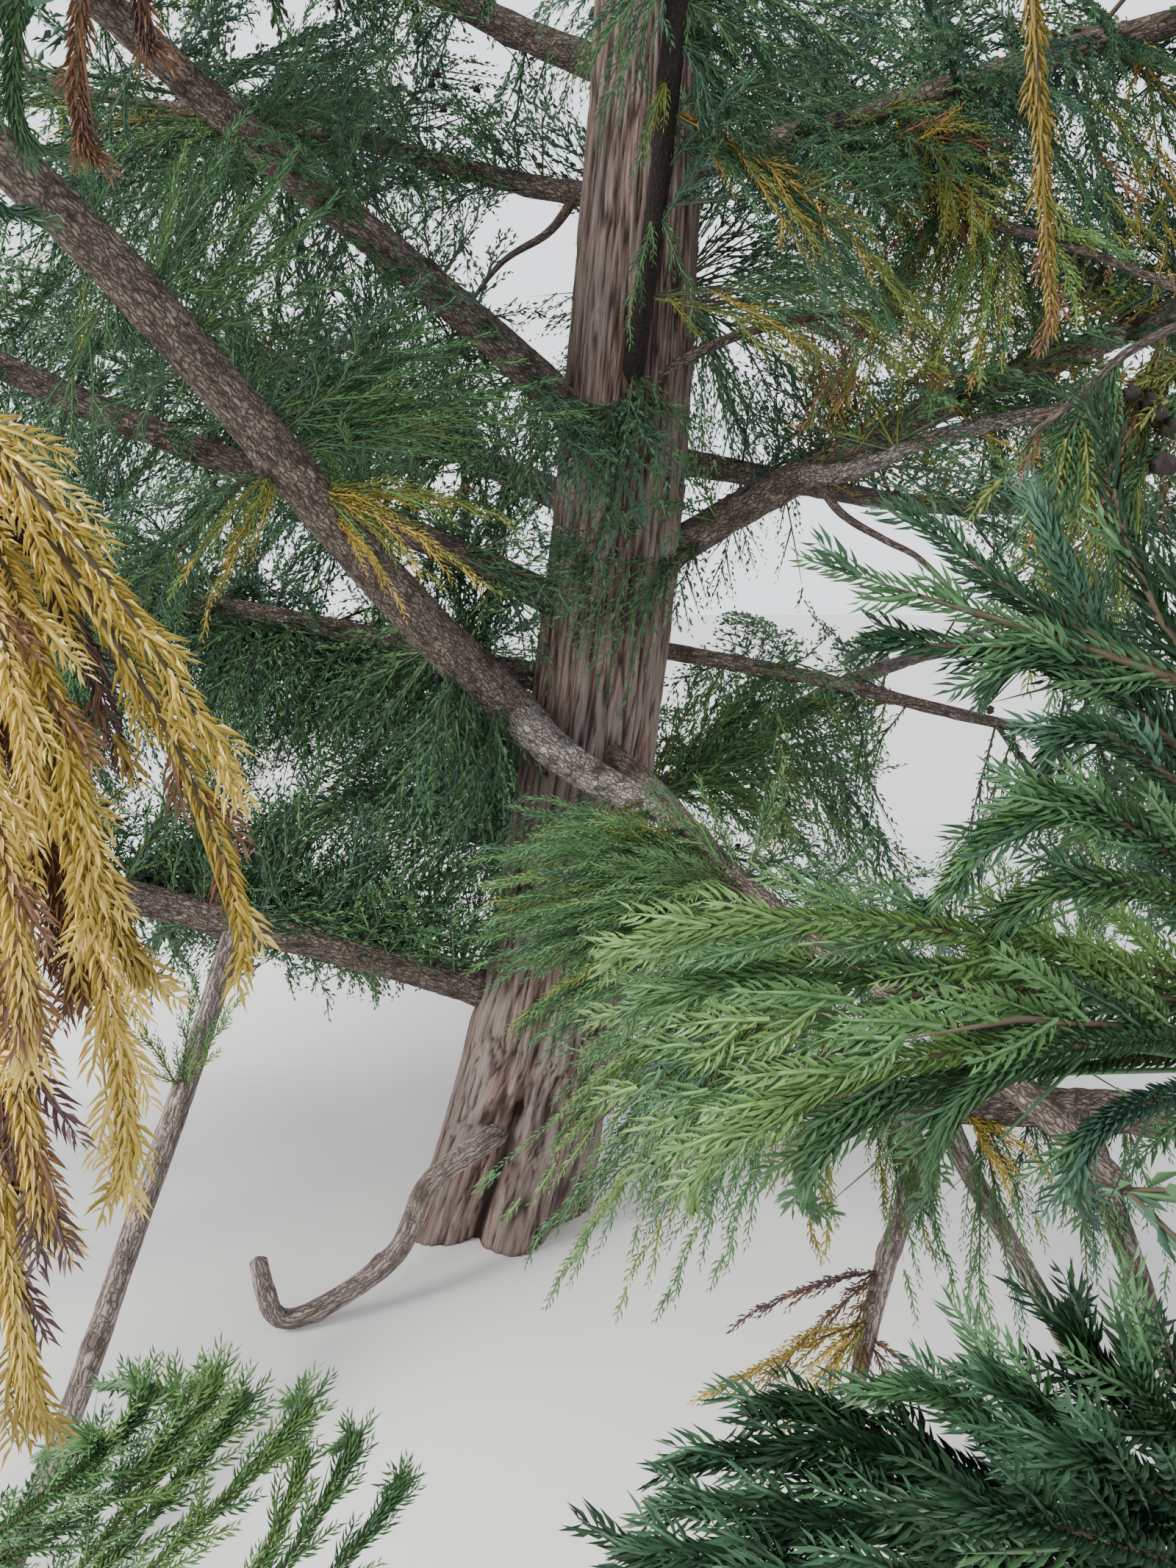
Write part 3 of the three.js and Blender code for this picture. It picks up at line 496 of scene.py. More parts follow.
# Sprays that the view shows in their places. What carries them, and for each how far along it,
# half width as a share of length, palette, droop, and the places of their tips
PLACED_SPRAYS = [
    # on the left boughs
    ("front_left", [
        (0.98, 0.2, "lemon", 0.25, [(650, 665, 2.02), (622, 752, 2.02), (555, 752, 2.04)]),
        (0.93, 0.18, "gold", 0.25, [(515, 770, 2.05), (482, 722, 2.06), (560, 640, 2.08)]),
        (1.05, 0.18, "lemon", 0.2, [(222, 752, 1.96), (262, 792, 1.98), (300, 720, 2.0)]),
        (1.06, 0.3, "leafy", 0.1, [(700, 500, 2.1), (650, 455, 2.1), (570, 400, 2.05), (740, 540, 2.15)]),
        (1.12, 0.3, "leafy", 0.1, [(520, 520, 2.1), (610, 430, 2.1), (540, 360, 2.05), (470, 450, 2.1)]),
        (1.18, 0.3, "deep", 0.1, [(480, 560, 2.15), (420, 400, 2.0)]),
        (1.38, 0.32, "leafy", 0.1, [(330, 240, 1.8), (380, 330, 1.9), (230, 210, 1.75), (300, 150, 1.8)]),
        (1.3, 0.32, "leafy", 0.1, [(420, 260, 1.9), (370, 200, 1.85), (440, 350, 1.95)]),
        (1.48, 0.32, "deep", 0.12, [(110, 190, 1.65), (60, 420, 1.8), (180, 480, 1.9)]),
    ]),
    ("mid_left", [
        (0.95, 0.32, "deep", 0.12, [(400, 470, 2.3), (330, 420, 2.2), (200, 640, 2.4)]),
        (0.6, 0.32, "leaf", 0.12, [(600, 560, 2.5), (650, 640, 2.5), (470, 760, 2.6)]),
    ]),
    ("upper_left", [
        (0.75, 0.3, "deep", 0.15, [(380, 420, 2.3), (520, 420, 2.35), (330, 130, 2.1)]),
        (0.45, 0.3, "deep", 0.15, [(640, 300, 2.5), (690, 400, 2.5), (520, 520, 2.5)]),
        (1.0, 0.3, "leaf", 0.15, [(300, 300, 2.0), (200, 250, 1.9), (420, 130, 2.2)]),
    ]),
    # across the trunk
    ("overhead", [
        (0.14, 0.3, "deep", 0.2, [(690, 650, 2.36), (742, 575, 2.34), (640, 600, 2.42)]),
        (0.2, 0.32, "leaf", 0.2, [(850, 650, 2.36), (915, 600, 2.4), (800, 600, 2.3)]),
    ]),
    ("right", [
        (0.16, 0.3, "deep", 0.2, [(690, 745, 2.38), (655, 700, 2.42), (780, 660, 2.36)]),
        (0.2, 0.28, "deep", 0.2, [(735, 830, 2.42), (815, 770, 2.4), (700, 700, 2.4)]),
    ]),
    ("overhead", [
        (0.55, 0.22, "leaf", 0.2, [(800, 420, 2.2), (890, 400, 2.22)]),
        (0.98, 0.3, "leaf", 0.15, [(745, 50, 1.96), (722, 120, 1.98), (765, 165, 2.0), (700, 20, 1.96)]),
        (0.86, 0.3, "deep", 0.1, [(960, 245, 2.05), (1010, 200, 2.05), (935, 130, 2.05)]),
        (0.8, 0.25, "turning", 0.2, [(815, 210, 2.0), (830, 160, 2.0)]),
        (0.12, 0.34, "leaf", 0.15, [(700, 560, 2.32), (760, 640, 2.3), (820, 560, 2.3), (900, 540, 2.4)]),
    ]),
    ("upper_left", [
        (0.22, 0.32, "leaf", 0.2, [(720, 620, 2.3), (660, 650, 2.35), (780, 600, 2.3)]),
    ]),
    ("right", [
        (0.24, 0.32, "leaf", 0.15,
         [(720, 780, 2.36), (760, 860, 2.34), (860, 790, 2.4), (640, 770, 2.4)]),
    ]),
    ("mid_left", [
        (0.3, 0.32, "leaf", 0.15, [(640, 830, 2.4), (700, 860, 2.36), (590, 860, 2.45)]),
    ]),
    ("overhead", [
        (0.16, 0.34, "deep", 0.15, [(730, 610, 2.3), (790, 680, 2.28), (850, 620, 2.3), (760, 720, 2.3)]),
    ]),
    ("upper_left", [
        (0.3, 0.34, "deep", 0.2, [(705, 560, 2.28), (745, 640, 2.28), (690, 700, 2.3)]),
    ]),
    ("mid_left", [
        (0.4, 0.34, "leaf", 0.15, [(715, 690, 2.34), (680, 760, 2.36), (745, 770, 2.34)]),
    ]),
    ("right", [
        (0.3, 0.32, "leafy", 0.15, [(820, 640, 2.32), (870, 570, 2.32), (850, 700, 2.34)]),
    ]),
    # the fresh fan below the middle
    ("front_right", [
        (0.8, 0.3, "fresh", 0.08,
         [(620, 1130, 2.0), (670, 1080, 2.05), (740, 1100, 1.95), (800, 1150, 1.9)]),
        (0.78, 0.3, "leafy", 0.08,
         [(655, 1040, 2.05), (612, 1085, 2.05), (690, 1020, 2.05), (640, 1200, 1.98)]),
        (0.84, 0.3, "leafy", 0.08,
         [(620, 1230, 1.96), (680, 1180, 1.96), (650, 1320, 1.92), (740, 1190, 1.9)]),
        (0.8, 0.32, "leafy", 0.08, [(628, 1090, 2.0), (652, 1150, 1.98), (700, 1120, 1.98)]),
        (0.82, 0.32, "fresh", 0.08, [(618, 1170, 1.98), (668, 1210, 1.95), (720, 1160, 1.96)]),
        (0.86, 0.3, "leafy", 0.1, [(640, 1250, 1.94), (700, 1290, 1.9), (730, 1230, 1.92)]),
        (0.92, 0.28, "fresh", 0.1, [(660, 1290, 1.9), (720, 1260, 1.88), (640, 1360, 1.88)]),
        (1.06, 0.22, "yellowing", 0.12, [(632, 1512, 1.8), (664, 1560, 1.8), (705, 1640, 1.76)]),
        (1.1, 0.22, "yellowing", 0.12, [(740, 1590, 1.74), (790, 1640, 1.7)]),
        (0.82, 0.26, "fresh", 0.1, [(655, 1235, 1.98), (645, 1120, 2.02), (700, 1050, 2.05)]),
        (0.9, 0.26, "fresh", 0.1, [(690, 1330, 1.88), (770, 1180, 1.95), (640, 1170, 1.9)]),
        (1.0, 0.24, "fresh", 0.12, [(640, 1505, 1.8), (720, 1440, 1.8), (760, 1300, 1.8)]),
        (1.08, 0.24, "fresh", 0.12, [(690, 1600, 1.76), (800, 1560, 1.72), (745, 1350, 1.7)]),
        (1.15, 0.22, "fresh", 0.14, [(838, 1660, 1.66), (905, 1620, 1.62), (880, 1480, 1.6)]),
        (0.84, 0.26, "fresh", 0.1,
         [(640, 1180, 1.96), (700, 1230, 1.95), (660, 1290, 1.92), (600, 1200, 2.0)]),
        (0.95, 0.26, "fresh", 0.12, [(720, 1390, 1.84), (820, 1400, 1.78), (780, 1480, 1.78)]),
        (1.05, 0.26, "leaf", 0.12, [(900, 1400, 1.7), (960, 1300, 1.7), (860, 1240, 1.75)]),
        (0.86, 0.28, "fresh", 0.05, [(890, 1000, 2.1), (1000, 985, 2.1), (820, 1060, 2.1)]),
        (1.02, 0.28, "fresh", 0.08, [(1110, 1080, 1.9), (1180, 1120, 1.85)]),
        (1.12, 0.18, "turning", 0.2, [(1060, 1580, 1.7), (980, 1500, 1.66), (1040, 1420, 1.7)]),
    ]),
    ("low_right", [
        (0.8, 0.26, "leaf", 0.15, [(720, 1330, 2.3), (800, 1450, 2.2), (900, 1480, 2.2)]),
    ]),
    # at the right and low on the right
    ("upper_right_thin", [
        (0.18, 0.2, "turning", 0.12,
         [(1078, 512, 2.25), (1033, 557, 2.25), (1110, 490, 2.25), (1050, 500, 2.3)]),
        (0.3, 0.2, "turning", 0.15, [(1150, 480, 2.15), (1180, 520, 2.15), (1120, 430, 2.2)]),
        (0.45, 0.2, "yellowing", 0.15,
         [(1218, 416, 2.05), (1244, 482, 2.02), (1200, 450, 2.05), (1262, 405, 2.05)]),
        (0.52, 0.2, "turning", 0.15, [(1276, 452, 2.0), (1252, 490, 2.02)]),
        (0.62, 0.2, "yellowing", 0.2, [(1410, 300, 1.95), (1440, 330, 1.95), (1380, 400, 1.95)]),
    ]),
    ("right_near", [
        (0.8, 0.12, "hanging", 0.2, [(1450, 500, 0.97), (1482, 522, 0.97), (1476, 582, 0.98)]),
        (0.76, 0.2, "hanging", 0.25, [(1440, 560, 0.98), (1470, 640, 0.99), (1400, 600, 0.97)]),
        (0.84, 0.2, "hanging", 0.25, [(1390, 640, 0.96), (1350, 610, 0.96), (1420, 690, 0.97)]),
        (0.92, 0.2, "hanging", 0.25, [(1320, 640, 0.95), (1275, 625, 0.95), (1345, 690, 0.95)]),
        (0.88, 0.07, "hanging", 0.1, [(1322, 800, 0.97), (1350, 880, 0.97), (1375, 940, 0.98)]),
        (0.95, 0.07, "turning", 0.1, [(1290, 720, 0.96), (1310, 850, 0.97)]),
    ]),
    ("upper_right", [
        (0.5, 0.3, "leaf", 0.1, [(1010, 380, 2.35), (960, 440, 2.4), (1060, 400, 2.35)]),
        (0.66, 0.3, "leaf", 0.1, [(1140, 380, 2.2), (1100, 300, 2.25), (1190, 330, 2.2)]),
        (0.45, 0.3, "deep", 0.2, [(1130, 330, 2.3), (1000, 280, 2.4), (960, 250, 2.3)]),
        (0.55, 0.3, "deep", 0.15, [(1160, 180, 2.2), (1240, 250, 2.2), (1300, 180, 2.1)]),
    ]),
    ("right_fork", [
        (0.35, 0.28, "turning", 0.2, [(1010, 545, 2.4), (1090, 480, 2.35), (1150, 500, 2.3)]),
        (0.8, 0.25, "turning", 0.2, [(1270, 620, 2.2), (1330, 660, 2.1), (1240, 470, 2.2)]),
    ]),
    ("right", [
        (1.02, 0.12, "deep", 0.2, [(1272, 885, 2.55), (1300, 760, 2.5), (1240, 700, 2.5)]),
        (1.12, 0.14, "deep", 0.2, [(1350, 880, 2.4), (1400, 760, 2.4), (1380, 640, 2.4)]),
    ]),
    ("right_slender", [
        (1.02, 0.18, "deep", 0.2, [(1380, 1080, 2.8), (1440, 1000, 2.8), (1340, 1020, 2.8)]),
    ]),
    ("low_right", [
        (0.72, 0.12, "gold", 0.2, [(1032, 1586, 1.95), (1060, 1500, 1.95), (1045, 1540, 1.95)]),
        (1.12, 0.2, "gold", 0.2,
         [(1300, 1540, 1.85), (1336, 1560, 1.85), (1280, 1500, 1.88), (1330, 1490, 1.88)]),
        (0.98, 0.14, "leafy", 0.2, [(1165, 1720, 1.85), (1215, 1640, 1.85)]),
        (1.16, 0.14, "leafy", 0.2, [(1245, 1780, 1.75), (1290, 1740, 1.75), (1340, 1690, 1.75)]),
        (1.32, 0.14, "leafy", 0.2, [(1400, 1740, 1.7), (1455, 1700, 1.7), (1360, 1600, 1.75)]),
        (0.95, 0.14, "turning", 0.2, [(1130, 1560, 1.9), (1195, 1600, 1.9), (1160, 1500, 2.0)]),
        (1.25, 0.2, "leaf", 0.15, [(1330, 1520, 1.9), (1290, 1560, 1.95), (1400, 1600, 1.9)]),
        (1.4, 0.2, "leaf", 0.15, [(1440, 1560, 1.8), (1500, 1620, 1.8), (1380, 1500, 1.9)]),
    ]),
    ("low_dead_first", [
        (0.55, 0.16, "brown", 0.2, [(985, 1760, 1.85), (1040, 1800, 1.9), (950, 1680, 1.85)]),
        (0.75, 0.16, "brown", 0.2, [(1160, 1840, 1.85), (1210, 1790, 1.85), (1080, 1830, 1.8)]),
        (0.7, 0.1, "gold", 0.15, [(890, 1800, 1.75), (1000, 1830, 1.75)]),
    ]),
    # behind the trunk's right side
    ("low_back_right", [
        (0.3, 0.26, "fresh", 0.05, [(1120, 1060, 2.8), (1135, 975, 2.8), (1060, 900, 2.85)]),
        (0.36, 0.24, "fresh", 0.05, [(1130, 930, 2.8), (1110, 870, 2.8), (1010, 830, 2.85)]),
        (0.4, 0.28, "leaf", 0.05, [(1010, 860, 3.0), (1110, 910, 3.0), (960, 800, 3.0)]),
        (0.5, 0.28, "fresh", 0.1, [(1100, 1120, 2.9), (1000, 1120, 2.9)]),
    ]),
    # on the dead limb and the low left bough
    ("hanging_dead_limb", [
        (0.42, 0.26, "fresh", 0.0, [(165, 1290, 2.2), (295, 1270, 2.2), (240, 1250, 2.2)]),
    ]),
    ("low_left", [
        (0.4, 0.3, "leafy", 0.05,
         [(640, 1050, 2.5), (600, 1120, 2.5), (660, 1170, 2.45), (560, 1040, 2.5)]),
        (0.24, 0.3, "leaf", 0.05, [(700, 1060, 2.46), (640, 1000, 2.48), (720, 1130, 2.44)]),
        (0.62, 0.26, "deep", 0.15, [(300, 1250, 2.55), (420, 1290, 2.6), (480, 1230, 2.6)]),
        (0.35, 0.3, "deep", 0.05, [(470, 1160, 2.6), (560, 1120, 2.7), (400, 1130, 2.6)]),
        (0.85, 0.28, "deep", 0.1, [(180, 1290, 2.5), (100, 1250, 2.4), (260, 1090, 2.5)]),
    ]),
]

# Ropes of needles close by: what carries them, how far along it, palette, how wide the side ropes
# spread, and for each a place that it passes and its tip
CLOSE_ROPES = [
    # hanging at the left
    ("left_hanging", 1.0, "amber", 0.26,
     [((150, 760, 0.47), (318, 1030, 0.46)), ((-40, 640, 0.5), (20, 700, 0.5))]),
    ("left_hanging", 1.0, "browning", 0.26,
     [((215, 930, 0.48), (312, 1235, 0.47))]),
    ("left_hanging", 0.97, "brown", 0.22,
     [((70, 740, 0.5), (155, 980, 0.5)), ((20, 900, 0.52), (72, 1235, 0.5))]),
    ("left_hanging", 0.93, "amber", 0.24,
     [((60, 870, 0.46), (110, 1190, 0.46)), ((80, 1000, 0.47), (185, 1250, 0.47)),
      ((110, 1150, 0.49), (148, 1520, 0.49)), ((0, 800, 0.46), (40, 1050, 0.46))]),
    ("left_hanging", 0.86, "browning", 0.18,
     [((-10, 1000, 0.45), (20, 1360, 0.45)), ((0, 1260, 0.47), (60, 1540, 0.47)),
      ((-20, 1400, 0.48), (48, 1800, 0.48))]),
    ("left_hanging", 0.8, "brown", 0.22,
     [((40, 1010, 0.52), (88, 1250, 0.52)), ((-40, 1200, 0.5), (30, 1480, 0.5))]),
    # the dark fan at the right
    ("right_reaching", 1.0, "shade", 0.34,
     [((1300, 760, 0.47), (1150, 635, 0.48)), ((1270, 790, 0.46), (1020, 712, 0.47)),
      ((1260, 830, 0.47), (1105, 818, 0.48)), ((1440, 700, 0.46), (1405, 490, 0.46)),
      ((1530, 820, 0.45), (1492, 720, 0.45))]),
    ("right_reaching", 0.93, "deep", 0.3,
     [((1400, 860, 0.46), (1250, 900, 0.47)), ((1420, 940, 0.45), (1330, 1000, 0.46)),
      ((1400, 800, 0.47), (1330, 640, 0.48))]),
    ("right_reaching", 0.84, "leaf", 0.34,
     [((1420, 1040, 0.46), (1180, 1180, 0.48)), ((1450, 1060, 0.46), (1290, 1040, 0.47)),
      ((1450, 1130, 0.47), (1260, 1200, 0.49))]),
    # the pale fan below it
    ("right_reaching", 0.76, "pale", 0.24,
     [((1230, 1190, 0.48), (770, 1222, 0.5)), ((1200, 1240, 0.5), (780, 1300, 0.52)),
      ((1240, 1260, 0.48), (800, 1400, 0.5))]),
    ("right_reaching", 0.72, "pale", 0.24,
     [((1180, 1310, 0.49), (830, 1500, 0.52)), ((1230, 1340, 0.47), (880, 1540, 0.5)),
      ((1250, 1370, 0.48), (1040, 1550, 0.5)), ((1330, 1300, 0.47), (1100, 1380, 0.48))]),
    ("right_reaching", 0.66, "leaf", 0.24,
     [((1400, 1330, 0.49), (1190, 1540, 0.52)), ((1480, 1400, 0.5), (1400, 1560, 0.52))]),
    # low on the right, and dark
    ("right_low", 0.97, "shade", 0.34,
     [((1250, 1900, 0.42), (1000, 1850, 0.41)), ((1230, 1960, 0.4), (900, 1980, 0.4)),
      ((1200, 2020, 0.38), (860, 2060, 0.38)), ((1300, 1840, 0.42), (1120, 1780, 0.42))]),
    ("right_low", 0.95, "shade", 0.34,
     [((1180, 1900, 0.43), (870, 1870, 0.42)), ((1100, 2020, 0.4), (790, 1975, 0.4)),
      ((1160, 1960, 0.41), (830, 1925, 0.42)), ((1200, 1860, 0.44), (960, 1800, 0.44))]),
    ("right_low", 0.88, "shade", 0.34,
     [((1400, 1850, 0.42), (1250, 1740, 0.43)), ((1450, 1800, 0.43), (1370, 1680, 0.44)),
      ((1480, 1900, 0.4), (1320, 1860, 0.4)), ((1400, 1960, 0.38), (1180, 1930, 0.38))]),
    ("right_low", 0.78, "shade", 0.34,
     [((1520, 1850, 0.44), (1470, 1700, 0.45)), ((1500, 1950, 0.42), (1420, 1880, 0.42))]),
    # tufts at the lower left
    ("front_low", 0.7, "pale", 0.2,
     [((75, 1900, 0.96), (45, 1860, 0.95)), ((110, 1870, 0.98), (125, 1770, 1.0)),
      ((150, 1900, 0.98), (165, 1770, 1.0))]),
    ("front_low", 0.8, "pale", 0.2,
     [((200, 1880, 0.98), (240, 1770, 1.0)), ((220, 1900, 1.0), (290, 1800, 1.02)),
      ((280, 1920, 1.0), (365, 1790, 1.02))]),
    ("front_low", 0.92, "fresh", 0.2,
     [((350, 1960, 1.02), (350, 1860, 1.04)), ((400, 1940, 1.03), (425, 1850, 1.06)),
      ((440, 1990, 1.04), (500, 1900, 1.06))]),
    # hanging overhead
    ("overhead_right_hanging", 0.85, "dying", 0.03,
     [((1324, 120, 0.68), (1342, 425, 0.73))]),
    ("overhead_left_hanging", 0.85, "brown", 0.03,
     [((100, 20, 0.66), (124, 205, 0.68)), ((175, -60, 0.66), (196, 60, 0.68))]),
    ("overhead_left_hanging", 0.75, "leaf", 0.12,
     [((20, 30, 0.7), (85, 190, 0.74)), ((-20, 90, 0.7), (40, 270, 0.72))]),
]

# Where foliage fills the view: across, down, half sizes, nearest and furthest depth, how many
# sprays reach for that part, palette, and droop
LEAFY_ZONES = [
    (390, 1010, 330, 240, 2.45, 3.4, 190, "leaf", 0.1),
    (330, 770, 330, 130, 2.4, 3.3, 80, "leaf", 0.1),
    (430, 1000, 260, 140, 2.45, 3.0, 110, "leaf", 0.1),
    (560, 1090, 110, 130, 2.3, 2.6, 40, "leaf", 0.15),
    (300, 380, 320, 260, 2.0, 3.2, 140, "leaf", 0.12),
    (540, 130, 170, 140, 2.3, 3.4, 80, "deep", 0.15),
    (600, 600, 110, 170, 2.5, 3.2, 60, "leaf", 0.1),
    (1180, 140, 340, 170, 1.9, 3.1, 150, "deep", 0.15),
    (1260, 400, 250, 170, 2.0, 3.1, 90, "turning", 0.2),
    (1010, 420, 90, 150, 2.4, 3.4, 30, "deep", 0.2),
    (1430, 640, 90, 150, 2.0, 3.2, 24, "deep", 0.25),
    (980, 950, 150, 130, 2.75, 3.4, 80, "fresh", 0.05),
    (400, 960, 160, 120, 2.45, 3.0, 60, "leaf", 0.1),
    (1300, 1130, 230, 90, 2.2, 3.6, 44, "fresh", 0.05),
    (1130, 1230, 350, 100, 1.7, 2.3, 16, "leaf", 0.1),
    (790, 1130, 150, 130, 1.75, 2.2, 26, "fresh", 0.1),
    (230, 1190, 240, 90, 2.5, 3.4, 24, "leaf", 0.1),
    (60, 560, 110, 330, 1.9, 2.8, 34, "deep", 0.1),
    (430, 30, 220, 70, 2.0, 3.0, 34, "deep", 0.1),
    (330, 880, 320, 240, 3.06, 3.9, 80, "leaf", 0.1),
    (330, 420, 300, 260, 3.06, 3.9, 60, "leaf", 0.1),
    (560, 820, 120, 110, 2.5, 3.0, 34, "leaf", 0.1),
]


# Numbers and directions


def seeded_random(seed):
    """The same seed always gives the same run of numbers between 0 and 1."""
    state = seed

    def draw():
        nonlocal state
        state = (state * SEED_FACTOR + SEED_STEP) % SEED_RANGE
        return state / SEED_RANGE

    return draw


def unit(vectors):
    lengths = np.linalg.norm(vectors, axis=-1, keepdims=True)
    return vectors / np.maximum(lengths, 1e-9)


def heading(bearing, rise):
    around, up = np.radians(bearing), np.radians(rise)
    level = np.cos(up)
    return np.stack([np.cos(around) * level, np.sin(around) * level, np.sin(up)], axis=-1)


def turned(vector, axis, angle):
    """A vector turned about an axis by an angle in degrees."""
    cos, sin = math.cos(math.radians(angle)), math.sin(math.radians(angle))
    return vector * cos + np.cross(axis, vector) * sin + axis * np.dot(axis, vector) * (1 - cos)


def cross_frame(direction):
    """Two directions square to a limb's own: one level, and one above it."""
    side = np.cross(direction, UP)
    if side.ndim == 1:
        side = side if np.linalg.norm(side) > NEARLY_UPRIGHT else np.array([1.0, 0.0, 0.0])
    else:
        side[np.linalg.norm(side, axis=1) < NEARLY_UPRIGHT] = (1, 0, 0)
    side = unit(side)
    return side, unit(np.cross(side, direction))


def level_side(direction):
    return cross_frame(direction)[0]


def off_stem(forward, roll, along, outward, sag):
    """A direction off a stem's own: so much along it, so much outward at a roll round it, and
    down by a sag."""
    aside = turned(level_side(forward), forward, roll)
    return unit(forward * along + aside * outward - UP * sag)


def leaned(forward, roll, lean, sag):
    lean = math.radians(lean)
    return off_stem(forward, roll, math.cos(lean), math.sin(lean), sag)


def rolled_plane(direction, spread, draw):
    """The crossways direction of a spray whose plane is turned by up to a spread."""
    return turned(level_side(direction), direction, draw.uniform(-spread, spread))


def by_turns(count):
    """1 and -1 by turns."""
    return np.where(np.arange(count) % 2 == 0, 1.0, -1.0)


def angle_from(angle, place):
    """Degrees from a place round the trunk, between -180 and 180."""
    return (np.degrees(angle) - place + 180) % 360 - 180


def view_axes():
    down = math.radians(LOOK_DOWN)
    forward = np.array([0, math.cos(down), -math.sin(down)])
    above = np.array([0, math.sin(down), math.cos(down)])
    return np.array([1.0, 0, 0]), forward, above


def seen(across, down, depth):
    """The point at a place of the view grid, at a depth from the eye."""
    right, forward, above = view_axes()
    aside = (across / VIEW_GRID[0] - 0.5) * FRAME_SIZE[0] / FOCAL_PIXELS
    raised = (0.5 - down / VIEW_GRID[1]) * FRAME_SIZE[1] / FOCAL_PIXELS
    return EYE + (forward + right * aside + above * raised) * depth


def view_places(points):
    """Columns of across, down and depth for rows of points."""
    right, forward, above = view_axes()
    away = points - EYE
    depth = away @ forward
    safe = np.maximum(depth, NEAREST_DEPTH)
    across = ((away @ right) / safe * FOCAL_PIXELS / FRAME_SIZE[0] + 0.5) * VIEW_GRID[0]
    down = (0.5 - (away @ above) / safe * FOCAL_PIXELS / FRAME_SIZE[1]) * VIEW_GRID[1]
    return np.stack([across, down, depth], axis=-1)


def in_view(places, margin=VIEW_MARGIN):
    across, down, depth = places.T
    return ((depth > FIRST_SEEN_DEPTH) & (across > -margin) & (across < VIEW_GRID[0] + margin)
            & (down > -margin) & (down < VIEW_GRID[1] + margin))


def point_in_view(point, margin=VIEW_MARGIN):
    return in_view(view_places(point[None]), margin)[0]


def inside_oval(across, down, zone):
    """Whether places of the view grid lie in an oval: across, down and its half sizes."""
    place, level, wide, tall = zone
    return ((across - place) / wide) ** 2 + ((down - level) / tall) ** 2 < 1


# Limbs


def trunk_centre(height):
    height = np.asarray(height, float)
    aside = LEAN_OFFSET * (1 - np.exp(-height / LEAN_HEIGHT))
    return np.stack([aside, np.zeros_like(height), height], axis=-1)


def trunk_radius(height):
    left = 1 - np.asarray(height, float) / TREE_HEIGHT
    flare = FLARE_RADIUS * np.exp(-np.asarray(height) / FLARE_HEIGHT)
    return TRUNK_RADIUS * left**TRUNK_TAPER + flare + TRUNK_TIP_RADIUS * (1 - left)


class Limb:
    """One limb: its centre line in equal steps, its thickness, and where its foliage starts."""

    def __init__(self, name, course, radius, tip_radius=STEM_TIP_RADIUS, bare=0.0):
        self.name = name
        self.course = course
        self.length = float(np.linalg.norm(np.diff(course, axis=0), axis=1).sum())
        self.radius = radius
        self.tip_radius = tip_radius
        self.bare = bare
        spray = min(max(self.length * SPRAY_LENGTH_SHARE, SPRAY_SHORTEST), SPRAY_LONGEST)
        self.spray_length = spray
        self.stem_end = self.length - spray + SPRAY_SINK

    def point(self, distance):
        steps = len(self.course) - 1
        place = np.clip(np.asarray(distance) / self.length, 0, 1) * steps
        before = np.minimum(np.floor(place).astype(int), steps - 1)
        share = np.asarray(place - before)[..., None]
        return self.course[before] * (1 - share) + self.course[before + 1] * share

    def direction(self, distance):
        reach = self.length / (len(self.course) - 1)
        distance = np.asarray(distance)
        return unit(self.point(distance + reach) - self.point(distance - reach))

    def thickness(self, distance):
        left = np.maximum(1 - np.asarray(distance) / self.length, 0)
        collar = 1 + COLLAR_SWELL * np.exp(-np.asarray(distance) / COLLAR_LENGTH)
        return (self.radius - self.tip_radius) * left**STEM_TAPER * collar + self.tip_radius


def limb_course(start, bearing, turn, rise, tip_rise, length):
    """Equal steps whose bearing and rise change smoothly along the limb."""
    t = (np.arange(COURSE_STEPS) + 0.5) / COURSE_STEPS
    wave = WAVE_ANGLE * np.sin(2 * np.pi * (WAVE_COUNT * t + bearing / 90))
    steps = heading(bearing + turn * t + wave, rise + (tip_rise - rise) * t * t + wave)
    return np.vstack([start, start + np.cumsum(steps * length / COURSE_STEPS, axis=0)])


def crown_reach(height):
    """The widest reach of the crown at a height, from the trunk to the last leaf."""
    left = (TREE_HEIGHT - height) / (TREE_HEIGHT - CROWN_SHOULDER)
    return CROWN_REACH * min(left, 1) ** CROWN_CURVE


def ruled_limb(group, index, name):
    """Above the lower limbs each is a golden turn on from the last, shorter and steeper."""
    share = index / (group["count"] - 1)
    height = group["lowest"] + (group["highest"] - group["lowest"]) * share**HEIGHT_CROWDING
    climb = (height - CROWN_SHOULDER) / (TREE_HEIGHT - CROWN_SHOULDER)
    rise = RISE_LOW + (RISE_HIGH - RISE_LOW) * climb
    length = max(crown_reach(height), SHORTEST_UPPER_LIMB)
    thickest = min(group["radius"], float(trunk_radius(height)) * LIMB_TO_TRUNK)
    course = limb_course(trunk_centre(height), group["bearing"] + GOLDEN_TURN * index, UPPER_TURN,
                         rise, rise - RISE_FALL, length)
    return Limb(f"{name}_{index + 1}", course, thickest * (1 - UPPER_THINNING * share),
                bare=group["bare"])


